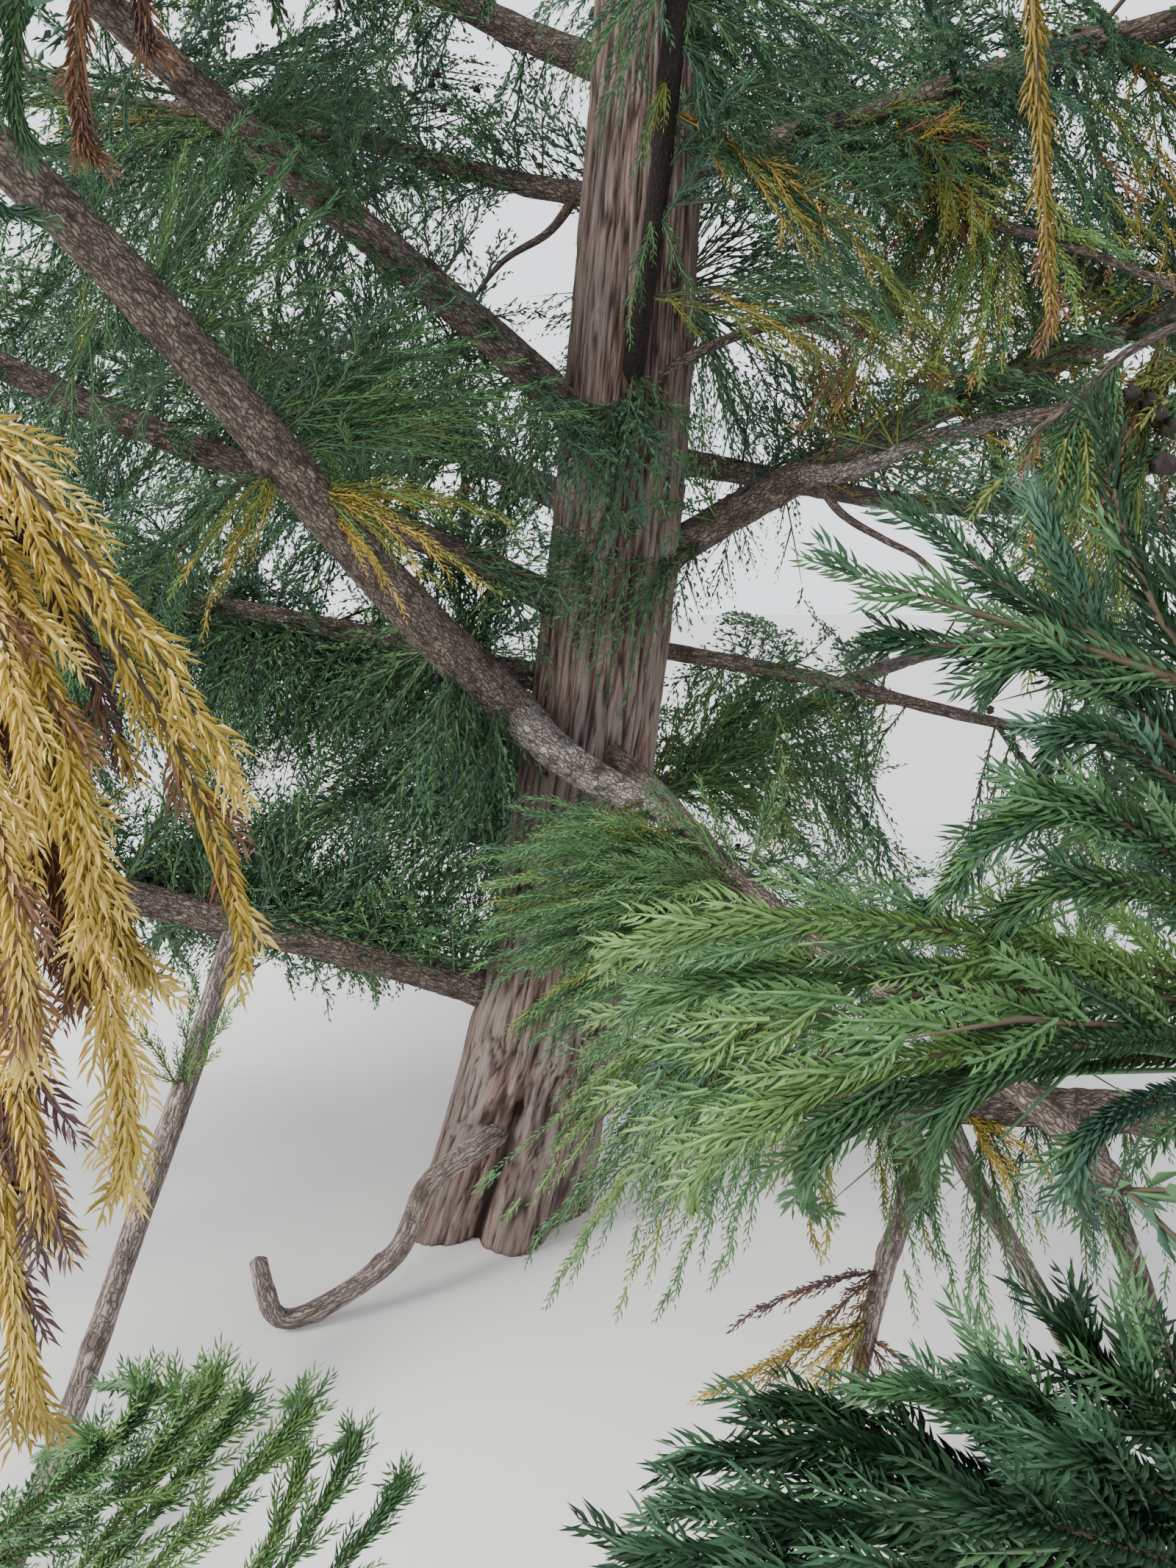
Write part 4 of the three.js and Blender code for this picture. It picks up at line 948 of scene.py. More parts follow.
@functools.lru_cache(maxsize=1)
def all_limbs():
    limbs = []
    for row in LOWER_LIMBS:
        limb = dict(zip(LIMB_COLUMNS, row))
        course = limb_course(trunk_centre(limb["height"]), limb["bearing"], limb["turn"],
                             limb["rise"], limb["tip_rise"], limb["length"])
        limbs.append(Limb(limb["name"], course, limb["radius"], bare=limb["bare"]))
    limbs += [ruled_limb(MIDDLE_LIMBS, i, "middle") for i in range(MIDDLE_LIMBS["count"])]
    limbs += [ruled_limb(UPPER_LIMBS, i, "upper") for i in range(UPPER_LIMBS["count"])]
    return limbs


def limb_named(name):
    return next(limb for limb in all_limbs() if limb.name == name)


def limb_number(name):
    """A limb's number, which its mass has too. Other wood counts with the front right limb."""
    names = [limb.name for limb in all_limbs()]
    return names.index(name) if name in names else names.index("front_right")


def hanging_limb():
    dead = HANGING_LIMB
    start = limb_named(dead["from"]).point(dead["distance"])
    course = limb_course(start, dead["bearing"], dead["turn"], dead["rise"], dead["tip_rise"],
                         dead["length"])
    return Limb("hanging_dead_limb", course, dead["radius"], dead["tip_radius"])


def smooth_course(points, steps=COURSE_STEPS):
    """Equal steps along a smooth curve through the points."""
    points = np.array(points, float)
    ends = np.vstack([2 * points[0] - points[1], points, 2 * points[-1] - points[-2]])
    fine = []
    for i in range(len(points) - 1):
        a, b, c, d = ends[i:i + 4]
        t = np.linspace(0, 1, CURVE_POINTS, endpoint=False)[:, None]
        fine.append(0.5 * (2 * b + (c - a) * t + (2 * a - 5 * b + 4 * c - d) * t**2
                           + (3 * b - a - 3 * c + d) * t**3))
    fine = np.vstack(fine + [points[-1:]])
    travelled = np.concatenate([[0], np.cumsum(np.linalg.norm(np.diff(fine, axis=0), axis=1))])
    wanted = np.linspace(0, travelled[-1], steps + 1)
    return np.stack([np.interp(wanted, travelled, fine[:, axis]) for axis in range(3)], axis=1)


@functools.lru_cache(maxsize=1)
def side_branches():
    """The side branches by name, each with its bark."""
    branches = {}
    for name, carrier, distance, radius, tip_radius, bark, places in SIDE_BRANCHES:
        root = carrier_named(carrier, branches).point(distance)
        course = smooth_course([root] + [seen(*place) for place in places])
        branches[name] = (Limb(name, course, radius, tip_radius), bark)
    return branches


def carrier_named(name, branches):
    if name in branches:
        return branches[name][0]
    if name == "hanging_dead_limb":
        return hanging_limb()
    return limb_named(name)


# Space that foliage may fill


def segment_distances(points, starts, ends):
    """How far each point is from each segment: a row for each point."""
    runs = ends - starts
    along = np.einsum("psk,sk->ps", points[:, None] - starts, runs)
    along = np.clip(along / np.maximum((runs * runs).sum(1), 1e-12), 0, 1)
    nearest = starts + along[..., None] * runs
    return np.linalg.norm(points[:, None] - nearest, axis=2)


class FreeSpace:
    """A point belongs to a mass when it is nearer that mass's stem than any other, and clear of
    the trunk, every bough, the dead wood, the ground and the open space in the crown."""

    def __init__(self, limbs, dead):
        self.starts = np.vstack([limb.course[:-1] for limb in limbs])
        self.ends = np.vstack([limb.course[1:] for limb in limbs])
        steps = np.arange(COURSE_STEPS)
        self.leafy = np.concatenate(
            [(steps + 1) * limb.length / COURSE_STEPS > limb.bare + 1e-9 for limb in limbs])
        self.bare = np.concatenate(
            [steps * limb.length / COURSE_STEPS < limb.bare - 1e-9 for limb in limbs])
        self.owner = np.repeat(np.arange(len(limbs)), COURSE_STEPS)
        clear = [float(limb.thickness(0)) + LIMB_MARGIN for limb in limbs]
        self.clear = np.repeat(clear, COURSE_STEPS)
        self.dead = (dead.course[:-1], dead.course[1:])

    def off_wood(self, points):
        """Which points are above the ground and clear of the trunk, boughs and dead limb."""
        height = np.clip(points[:, 2], 0, TREE_HEIGHT)
        free = points[:, 2] >= GROUND_MARGIN
        away = np.linalg.norm(points - trunk_centre(height), axis=1)
        free &= away >= trunk_radius(height) + LIMB_MARGIN
        away = segment_distances(points, *self.dead).min(1)
        free &= away >= HANGING_LIMB["radius"] + LIMB_MARGIN
        away = segment_distances(points, self.starts[self.bare], self.ends[self.bare])
        return free & (away >= self.clear[self.bare]).all(1)

    def free(self, points, own):
        """Which points a mass may fill."""
        free = self.off_wood(points)
        look_in = segment_distances(points, LOOK_IN_OUTER[None], LOOK_IN_INNER[None])
        free &= look_in[:, 0] >= LOOK_IN_RADIUS
        stems = segment_distances(points, self.starts[self.leafy], self.ends[self.leafy])
        is_own = self.owner[self.leafy] == own
        return free & (stems[:, is_own].min(1) + MASS_MARGIN <= stems[:, ~is_own].min(1))


# Sizes and colours of needles by their place


def needle_grade(point):
    if not point_in_view(point):
        return "crown" if point[2] > CROWN_GRADE_HEIGHT else "coarse"
    away = view_places(point[None])[0, 2]
    return next((grade for grade, depth in GRADE_DEPTHS.items() if away < depth), "coarse")


def opening_share(points, openings=OPENINGS):
    """What share of the cords stays at each point."""
    across, down, depth = view_places(points).T
    share = np.ones(len(points))
    for *oval, near, far, kept in openings:
        inside = inside_oval(across, down, oval) & (depth > near) & (depth < far)
        share[inside] = np.minimum(share[inside], kept)
    return share


def zone_palette(point, draw):
    across, down, depth = view_places(point[None])[0]
    for *oval, near, far, palette, share in COLOUR_ZONES:
        if inside_oval(across, down, oval) and near < depth < far and draw.random() < share:
            return palette
    chance = draw.random()
    if chance < TURNING_CHANCE:
        return "turning"
    return "deep" if chance < DEEP_CHANCE else "leaf"


def pick_colours(palette, count, draw):
    """Runs of colours along a spray, so that near cords are alike."""
    names = list(PALETTES[palette])
    shares = np.array([PALETTES[palette][name] for name in names])
    main = draw.choice(len(names), p=shares)
    picked = draw.choice(len(names), size=count, p=shares)
    picked[draw.random(count) < SAME_COLOUR_SHARE] = main
    return np.array([COLOUR_NAMES.index(names[i]) for i in picked])


# Growth: sprays, twigs and cords of needles


class Growth:
    """Cords of needles and woody twigs, gathered while the crown grows.

    Each is a curve: start + run * t + bend * t * t, for t from 0 to 1.
    """

    def __init__(self):
        self.cords = []
        self.twigs = []
        self.cones = []

    def add_cords(self, start, run, bend, across, colour, grade, mass):
        count = len(start)
        self.cords.append({
            "start": start, "run": run, "bend": bend, "across": across, "colour": colour,
            "grade": np.full(count, GRADE_NAMES.index(grade)), "mass": np.full(count, mass)})

    def add_twig(self, start, run, bend, radius, tip_radius):
        self.twigs.append((start, run, bend, radius, tip_radius))


def spray_width(share):
    """A spray's half width along it, as a share of its widest."""
    return np.minimum((share + 0.1) / 0.42, 1) ** 0.8 * np.clip(1 - share, 0, 1) ** 0.62


def keep_some(growth, cords, grade, mass, draw, clear_view):
    """Adds the cords that stay inside the crown's box, off the trunk and out of the openings."""
    start, run, bend = cords[:3]
    tip = start + run + bend
    low, high = np.array(CAD_BOX[0]), np.array(CAD_BOX[1])
    spare = BOX_SPARE * (high - low)
    kept = ((tip > low - spare) & (tip < high + spare)).all(1) & (tip[:, 2] > LOWEST_TIP)
    height = np.clip(tip[:, 2], 0, TREE_HEIGHT)
    aside = np.linalg.norm(tip - trunk_centre(height), axis=1)
    kept &= aside > trunk_radius(height) + TRUNK_CLEARANCE
    middle = start + 0.6 * (run + bend)
    openings = BARE_BARK + OPENINGS if clear_view else BARE_BARK
    share = np.minimum(opening_share(middle, openings), opening_share(tip, openings))
    kept &= draw.random(len(start)) < share
    if kept.any():
        growth.add_cords(*(values[kept] for values in cords), grade, mass)
    return kept


def grow_spray(growth, root, direction, across, length, half_width, palette, mass, draw,
               droop=SPRAY_DROOP, clear_view=True, grade=None, ropes=False):
    """One spray: an axis, branchlets to either side in its plane, and side cords on those.

    A spray of ropes has few long branchlets at a narrow angle. Says whether anything was grown.
    """
    grade = grade or needle_grade(root + direction * length * 0.5)
    size = GRADES[grade]
    kind = SPRAY_KINDS["ropes" if ropes else "fan"]
    across = unit(across - direction * np.dot(across, direction))
    normal = np.cross(direction, across)
    axis_run = direction * length
    axis_bend = np.array([0, 0, -droop * length]) + across * draw.normal(0, SPRAY_SWAY) * length
    if clear_view and opening_share((root + axis_run * 0.5)[None])[0] < draw.random():
        return False
    pitch = ROPE_PITCH if ropes else size["branchlet_pitch"]
    count = max(FEWEST_BRANCHLETS, int(length / pitch * BRANCHLETS_PER_PITCH))
    share = (np.arange(count) + 0.4 + 0.5 * draw.random(count)) / count
    start = root + axis_run * share[:, None] + axis_bend * share[:, None] ** 2
    forward = unit(axis_run + 2 * axis_bend * share[:, None])
    angle = draw.normal(kind["angle"], BRANCHLET["scatter"], count) - BRANCHLET["closing"] * share
    angle = np.radians(angle)[:, None]
    lift = draw.normal(BRANCHLET["lift"], kind["lift"], count)[:, None]
    outward = unit(across * by_turns(count)[:, None] + normal * lift)
    pointing = unit(forward * np.cos(angle) + outward * np.sin(angle))
    if ropes:
        reach = length * ROPE_REACH * (1 - share) ** ROPE_NARROWING
    else:
        reach = half_width * spray_width(share) / np.sin(angle[:, 0])
    reach = reach * draw.uniform(*kind["uneven"], count)
    reach = np.maximum(reach, BRANCHLET["shortest"] + 0.5 * size["length"])
    run = pointing * reach[:, None]
    bend = (forward * (BRANCHLET["forward"] * reach[:, None])
            - outward * (BRANCHLET["inward"] * reach[:, None]))
    bend[:, 2] -= (droop + draw.uniform(0, BRANCHLET["droop"], count)) * reach
    colour = pick_colours(palette, count + 1, draw)
    square = unit(np.cross(pointing, normal))
    cords = with_axis((start, root), (run, axis_run), (bend, axis_bend), (square, across))
    cords.append(colour)
    kept = keep_some(growth, cords, grade, mass, draw, clear_view)
    if not kept.any():
        return False
    end = WOODY_SHARE if kept[-1] else max(float(share[kept[:-1]].max()), 0.1)
    foot = AXIS_TWIG["foot"] + AXIS_TWIG["foot_by_length"] * length
    growth.add_twig(root, axis_run * end, axis_bend * end**2, foot, AXIS_TWIG["tip"])
    if size["side_pitch"] and not ropes:
        branchlets = [values[:-1][kept[:-1]] for values in cords]
        grow_side_cords(growth, branchlets, normal, size, grade, mass, draw, clear_view)
    return True


def with_axis(*pairs):
    """The branchlets' rows, each with the axis's own as the last."""
    return [np.vstack([rows, own[None]]) for rows, own in pairs]


def grow_side_cords(growth, branchlets, normal, size, grade, mass, draw, clear_view):
    """Short cords to either side of each branchlet, shorter towards its tip."""
    start, run, bend, _, colour = branchlets
    reach = np.linalg.norm(run, axis=1)
    counts = np.maximum((reach * SIDE_CORD["leafy"] / size["side_pitch"]).astype(int), 0)
    branchlet, order = numbered(counts)
    if not len(branchlet):
        return
    share = ((order + 0.7 + 0.3 * draw.random(len(order))) / (counts[branchlet] + 0.6))[:, None]
    foot = start[branchlet] + run[branchlet] * share + bend[branchlet] * share**2
    forward = unit(run[branchlet] + 2 * bend[branchlet] * share)
    hand = np.where(order % 2 == 0, 1.0, -1.0)[:, None]
    side = unit(np.cross(normal, forward)) * hand
    lift = normal * draw.normal(0, SIDE_CORD["lift"], len(order))[:, None]
    angle = np.radians(draw.normal(SIDE_CORD["angle"], SIDE_CORD["scatter"], len(order)))[:, None]
    pointing = unit(forward * np.cos(angle) + unit(side + lift) * np.sin(angle))
    long = (size["side_share"] * (1 - share[:, 0] ** 1.5)
            * np.minimum(reach[branchlet], SIDE_CORD["longest_for"]))
    long = (long + SIDE_CORD["shortest"]) * draw.uniform(*SIDE_CORD["uneven"], len(order))
    side_bend = forward * (SIDE_CORD["forward"] * long[:, None])
    side_bend[:, 2] -= SIDE_CORD["droop"] * long
    square = unit(np.cross(pointing, normal + lift * 0.1))
    cords = [foot, pointing * long[:, None], side_bend, square, colour[branchlet]]
    keep_some(growth, cords, grade, mass, draw, clear_view)


def numbered(counts):
    """For rows that repeat by their counts: each one's row, and its order within the row."""
    row = np.repeat(np.arange(len(counts)), counts)
    return row, np.arange(len(row)) - np.repeat(np.cumsum(counts) - counts, counts)


def grow_twig(growth, start, knee, end, share):
    """A twig through three points, as one curve, by its share of a full twig's thickness."""
    radius = TWIG_RADIUS * share
    bend = 2 * (end + start - 2 * knee)
    growth.add_twig(start, end - start - bend, bend, radius, radius * 0.5)


def spray_test_points(root, direction, across, length, half_width):
    """Points all over a spray, for the test that it keeps to its mass's space."""
    points = []
    for share in TEST_SHARES:
        widest = share / WIDEST_SHARE if share < WIDEST_SHARE else (1 - share) / (1 - WIDEST_SHARE)
        for aside in TEST_EDGES:
            points.append(root + direction * share * length + across * aside * widest * half_width)
    return np.array(points)


def fitted_spray(space, own, place, direction, tilt, length, inside=1.0):
    """The largest of the sizes tried that stays clear of wood, and that has at least a share of
    it inside the mass's space, or nothing."""
    across = turned(level_side(direction), direction, tilt)
    for share in SPRAY_SIZES_TRIED:
        size = length * share
        root = place - direction * SPRAY_SINK
        points = spray_test_points(root, direction, across, size, size * SPRAY_HALF_WIDTH)
        if space.off_wood(points).all() and space.free(points, own).mean() >= inside:
            return root, direction, across, size
    return None


def dress_spray(growth, found, own, draw):
    """A spray in its mass, of the palette that its place gives."""
    root, direction, across, length = found
    palette = zone_palette(root + direction * length * 0.5, draw)
    half_width = length * SPRAY_HALF_WIDTH * DRESSED_SPREAD
    return grow_spray(growth, root, direction, across, length, half_width, palette, own, draw)


def shoot_direction(limb, distance, hand, draw):
    """To one hand of a stem, turned round it and leaned outward."""
    forward = limb.direction(distance)
    side, above = cross_frame(forward)
    roll = math.radians(TWIG_ROLL_SPREAD * (2 * draw() - 1) + TWIG_ROLL_MEAN)
    lean = math.radians(TWIG_ANGLE + TWIG_ANGLE_SPREAD * (2 * draw() - 1))
    outward = side * hand * math.cos(roll) + above * math.sin(roll)
    return unit(forward * math.cos(lean) + outward * math.sin(lean))


def grow_mass(growth, space, limb, own, draw):
    """One mass by the solids' own rule: shoots to left and right by turns, in fours. Two are
    twigs with a spray at the end and one at the knee, and two are sprays on the stem."""
    run = seeded_random(MASS_SEED + own)
    start = limb.bare + TOUCH_GAP if limb.bare > 0 else 0
    first = start + FIRST_SHOOT * (limb.stem_end - start)
    count = max(FEWEST_SHOOTS, math.floor((limb.stem_end - first) / TWIG_PITCH + 0.5))

    def add(place, direction, tilt, length):
        found = fitted_spray(space, own, place, direction, tilt, length)
        return bool(found) and dress_spray(growth, found, own, draw)

    for i in range(count):
        share = (i + SHOOT_SCATTER * run()) / count
        distance = first + (limb.stem_end - first) * share
        place = limb.point(distance)
        hand = 1 if i % 2 == 0 else -1
        direction = shoot_direction(limb, distance, hand, run)
        tilt = SPRAY_TILT * (2 * run() - 1)
        length = limb.spray_length * (SPRAY_SIZE_AT_FOOT - SPRAY_SHRINK * share)
        knee = place + direction * length * TWIG_LENGTH_SHARE * 0.5
        sagged = turned(direction, level_side(direction), -TWIG_SAG)
        end = knee + sagged * length * TWIG_LENGTH_SHARE * 0.5
        if not (i % 4 < 2 and space.free(np.array([knee, end]), own).all()):
            add(place, direction, tilt, length)
            continue
        at_end = add(end, sagged, tilt, length)
        aside = turned(direction, UP, -hand * SPRAY_ANGLE)
        at_knee = add(knee, aside, -tilt, length * KNEE_SPRAY_SIZE)
        if at_end or at_knee:
            last = end if at_end else knee
            grow_twig(growth, place, (place + last) / 2 + (knee - (place + end) / 2) * at_end, last,
                      MASS_TWIG_SHARE)
    add(limb.point(limb.stem_end), limb.direction(limb.stem_end), TIP_TILT * (2 * run() - 1),
        limb.spray_length)


def fill_mass(growth, space, limb, own, draw):
    """Finer growth between a mass's own shoots, all round its stem and mostly in its space."""
    start = limb.bare if limb.bare > 0 else FILL["start"]
    places = view_places(limb.point(np.linspace(start, limb.stem_end, 6)))
    seen_there = in_view(places, FILL["margin"]) & (places[:, 2] < FILL["depth"])
    pitch = FILL["pitch_in_view"] if seen_there.mean() > FILL["seen_share"] else FILL["pitch"]
    count = int((limb.stem_end - start) / pitch)
    for i in range(count):
        distance = start + (limb.stem_end - start) * (i + draw.random()) / count
        roll = GOLDEN_TURN * i + draw.uniform(-FILL["roll"], FILL["roll"])
        direction = leaned(limb.direction(distance), roll, draw.uniform(*FILL["lean"]), FILL["sag"])
        length = limb.spray_length * draw.uniform(*FILL["lengths"])
        place = limb.point(distance)
        knee = place + direction * length * FILL["twig_reach"]
        on_twig = draw.random() < FILL["on_twig"] and space.free(knee[None], own).all()
        found = fitted_spray(space, own, knee if on_twig else place, direction,
                             draw.uniform(-SPRAY_TILT, SPRAY_TILT), length, FILL["inside"])
        if found and dress_spray(growth, found, own, draw) and on_twig:
            grow_twig(growth, place, (place + knee) / 2 - UP * 0.01, knee, FILL["twig_share"])


def fill_crown(growth, space, limb, own, draw):
    """Leafy twigs all round a limb above the view, so that the crown is full from every side."""
    start = max(limb.bare, CROWN["start"])
    count = int((limb.length - start) / CROWN["pitch"])
    for i in range(count):
        share = (i + draw.random()) / count
        distance = start + (limb.stem_end - start) * share
        place = limb.point(distance)
        roll = GOLDEN_TURN * i + draw.uniform(-CROWN["roll"], CROWN["roll"])
        lean = draw.uniform(*CROWN["lean"])
        direction = leaned(limb.direction(distance), roll, lean, CROWN["sag"])
        reach = (CROWN["reach"] * limb.length * (CROWN["at_foot"] - share)
                 * draw.uniform(*CROWN["uneven"]))
        end = place + direction * reach - UP * CROWN["end_sag"] * reach
        if inside_crown(end) and space.off_wood(np.array([end]))[0]:
            grow_twig(growth, place, place + direction * reach * 0.5, end, CROWN["twig_share"])
            leafy_twig(growth, place, direction, end, own, draw)


def inside_crown(point):
    aside = float(np.linalg.norm(point - trunk_centre(point[2])))
    return (point[2] < TREE_HEIGHT - CROWN["top_margin"]
            and aside < crown_reach(max(point[2], 0)) + CROWN["side_margin"])


def leafy_twig(growth, place, direction, end, own, draw):
    """Sprays to either side along a twig, and one at its end."""
    sprays = TWIG_SPRAYS
    longest = min(sprays["longest"],
                  sprays["shortest"] + sprays["growth"] * float(np.linalg.norm(end - place)))
    for number, along in enumerate(sprays["at"]):
        root = place + (end - place) * along
        hand = 1 if number % 2 == 0 else -1
        aim = direction
        if along < 1:
            aim = turned(direction, UP, hand * draw.uniform(*sprays["aside"]))
        aim = unit(aim + UP * draw.normal(*sprays["tilt"]))
        length = longest * draw.uniform(*sprays["uneven"])
        across = rolled_plane(aim, sprays["roll"], draw)
        dress_spray(growth, (root, aim, across, length), own, draw)


def dress_leader(growth, own, draw):
    """Short rising sprays round the top of the trunk."""
    top = TREE_HEIGHT - LEADER["margin"]
    for i in range(LEADER["sprays"]):
        share = i / (LEADER["sprays"] - 1)
        root = trunk_centre(LEADER["lowest"] + (top - LEADER["lowest"]) * share)
        direction = heading(GOLDEN_TURN * i, LEADER["rise"] + LEADER["steepening"] * share)
        across = rolled_plane(direction, LEADER["roll"], draw)
        length = LEADER["length"] - LEADER["shortening"] * share
        dress_spray(growth, (root, direction, across, length), own, draw)


def dress_side_branches(growth, draw):
    """Sprays along the long side branches wherever the view doesn't show them."""
    dress = SIDE_DRESS
    for name in HANGING_BRANCHES:
        branch = side_branches()[name][0]
        for distance in np.arange(dress["start"], branch.length * dress["last"], dress["pitch"]):
            place = branch.point(distance)
            if point_in_view(place, dress["margin"]):
                continue
            direction = off_stem(branch.direction(distance), draw.uniform(0, 360),
                                 dress["forward"], dress["outward"], dress["sag"])
            across = rolled_plane(direction, dress["roll"], draw)
            if not point_in_view(place + direction * dress["tip"], dress["tip_margin"]):
                length = draw.uniform(*dress["lengths"])
                dress_spray(growth, (place, direction, across, length), limb_number(name), draw)


def shoot_on_bare_stretch(growth, limb, own, draw):
    """Short sprays on the bare stretch of a bough, only behind the trunk as one looks in."""
    shoots = BARE_SHOOTS
    distance = shoots["start"]
    while distance < limb.bare:
        distance += shoots["pitch"] * draw.uniform(*shoots["uneven"])
        place = limb.point(distance)
        if view_places(place[None])[0, 2] < shoots["behind"]:
            continue
        direction = leaned(limb.direction(distance), draw.uniform(0, 360),
                           draw.uniform(*shoots["lean"]), shoots["sag"])
        length = draw.uniform(*shoots["lengths"])
        across = rolled_plane(direction, shoots["roll"], draw)
        dress_spray(growth, (place, direction, across, length), own, draw)


def hang_cones(growth, draw):
    """Cones at the tips of cords: where the view shows them, and here and there in the crown."""
    start, run, bend = (join_rows(growth.cords, key) for key in ("start", "run", "bend"))
    tips = start + run + bend
    places = view_places(tips)
    near = in_view(places, CONE_VIEW_MARGIN) & (places[:, 2] < CONES_BEYOND)
    chosen = list(draw.choice(np.flatnonzero(~near), CONES_AT_RANDOM, replace=False))
    for place in CONE_PLACES:
        away = np.linalg.norm(tips - seen(*place), axis=1)
        chosen += list(np.argsort(away)[:CONES_IN_A_CLUSTER])
    pointing = unit(run + 2 * bend)[chosen] - UP * CONE_HANG
    growth.cones = (tips[chosen], unit(pointing), draw.uniform(*CONE_SIZES, len(chosen)))


def aimed_spray(root, aim, droop, spread, draw):
    """Direction, plane, length and droop of a spray that sags to a place, turned to the view."""
    reach = float(np.linalg.norm(aim - root))
    run = aim - root + UP * droop * reach
    length = float(np.linalg.norm(run))
    direction = run / length
    square = unit(np.cross(direction, view_axes()[1]))
    across = turned(square, direction, draw.uniform(-spread, spread))
    return direction, across, length, droop * reach / length


def place_sprays(growth, draw):
    """The sprays that the view shows, each from its carrier to its tip, turned to face the view."""
    for name, rows in PLACED_SPRAYS:
        carrier = carrier_named(name, side_branches())
        whole = carrier.length if name in side_branches() else 1
        for distance, width, palette, droop, tips in rows:
            root = carrier.point(distance * whole)
            for tip in tips:
                aim = seen(*tip)
                direction, across, length, sag = aimed_spray(root, aim, droop, PLACED_ROLL, draw)
                grow_spray(growth, root, direction, across, length, length * width, palette,
                           limb_number(name), draw, droop=sag, clear_view=False,
                           grade=needle_grade(aim), ropes=palette in ROPE_PALETTES)


def place_ropes(growth, draw):
    """The ropes that hang or reach in close by, with side ropes at a narrow angle."""
    for name, distance, palette, spread, pairs in CLOSE_ROPES:
        carrier = side_branches()[name][0]
        for passed, tip in pairs:
            root = carrier.point(distance * carrier.length)
            middle, end = seen(*passed), seen(*tip)
            bend = 2 * (end + root - 2 * middle)
            run = end - root - bend
            grow_rope(growth, root, run, bend, palette, spread, limb_number(name), draw)


def grow_rope(growth, root, run, bend, palette, spread, own, draw):
    """A long rope as one curve, with side ropes along it in the plane that faces the view."""
    rope = CLOSE_ROPE
    forward = view_axes()[1]
    length = float(np.linalg.norm(run + bend))
    count = max(rope["fewest"], int(length / rope["pitch"]))
    share = (np.arange(count) + 0.3 + 0.6 * draw.random(count)) / (count + 0.4)
    start = root + run * share[:, None] + bend * share[:, None] ** 2
    along = unit(run + 2 * bend * share[:, None])
    lift = forward * draw.normal(0, rope["lift"], count)[:, None]
    aside = unit(unit(np.cross(along, forward)) * by_turns(count)[:, None] + lift)
    angle = np.radians(draw.normal(rope["angle"], rope["scatter"], count))[:, None]
    pointing = unit(along * np.cos(angle) + aside * np.sin(angle))
    reach = spread * length * (1.05 - share) * draw.uniform(*rope["uneven"], count)
    reach = np.clip(reach, *rope["reach"])[:, None]
    side_bend = along * (rope["forward"] * reach) - aside * (rope["inward"] * reach)
    palette, first, last = BROWN_STRETCHES.get(palette, (palette, 1, 1))
    colour = pick_colours(palette, count + 1, draw)
    brown = np.flatnonzero((share > first) & (share < last))
    if len(brown):
        colour[brown] = pick_colours("brown", len(brown), draw)
    cords = with_axis((start, root), (pointing * reach, run), (side_bend, bend),
                      (np.cross(pointing, forward), unit(np.cross(run + bend, forward)))) + [colour]
    keep_some(growth, cords, needle_grade(root + run + bend), own, draw, False)
    growth.add_twig(root, run * WOODY_SHARE, bend * WOODY_SHARE**2, rope["foot"], rope["tip"])


def reach_into_view(growth, space, draw):
    """Sprays from the nearest limbs towards places spread over each leafy part of the view."""
    samples = [(own, limb.point(distance)) for own, limb in enumerate(all_limbs())
               for distance in np.arange(ZONE_SPRAYS["first"], limb.stem_end, ZONE_SPRAYS["pitch"])]
    places = np.array([place for own, place in samples])
    for across, down, wide, tall, near, far, count, palette, droop in LEAFY_ZONES:
        for _ in range(count):
            angle, out = draw.uniform(0, 2 * math.pi), math.sqrt(draw.random())
            aim = seen(across + wide * out * math.cos(angle), down + tall * out * math.sin(angle),
                       draw.uniform(near, far))
            away = np.linalg.norm(places - aim, axis=1)
            away[away < ZONE_REACH[0]] = np.inf
            away = away * draw.uniform(*ZONE_SPRAYS["uneven"], len(away))
            own, root = samples[int(np.argmin(away))]
            reach_for(growth, space, root, aim, own, palette, droop, draw)


def reach_for(growth, space, root, aim, own, palette, droop, draw):
    """One spray from a limb to a place, on a twig where that is further than a spray is long."""
    sprays = ZONE_SPRAYS
    reach = float(np.linalg.norm(aim - root))
    if reach > sprays["furthest"] or not space.off_wood(aim[None])[0]:
        return
    foot = root
    if reach > ZONE_REACH[1]:
        root = root + (aim - root) * (1 - sprays["own_reach"] * ZONE_REACH[1] / reach)
    direction, across, length, sag = aimed_spray(root, aim, droop, sprays["roll"], draw)
    if draw.random() < sprays["own_palette"]:
        palette = zone_palette(aim, draw)
    grown = grow_spray(growth, root, direction, across, length, length * sprays["half_width"],
                       palette, own, draw, droop=sag)
    if grown and foot is not root:
        middle = (foot + root) / 2 + UP * sprays["arch"]
        grow_twig(growth, foot, middle, root, sprays["twig_share"])


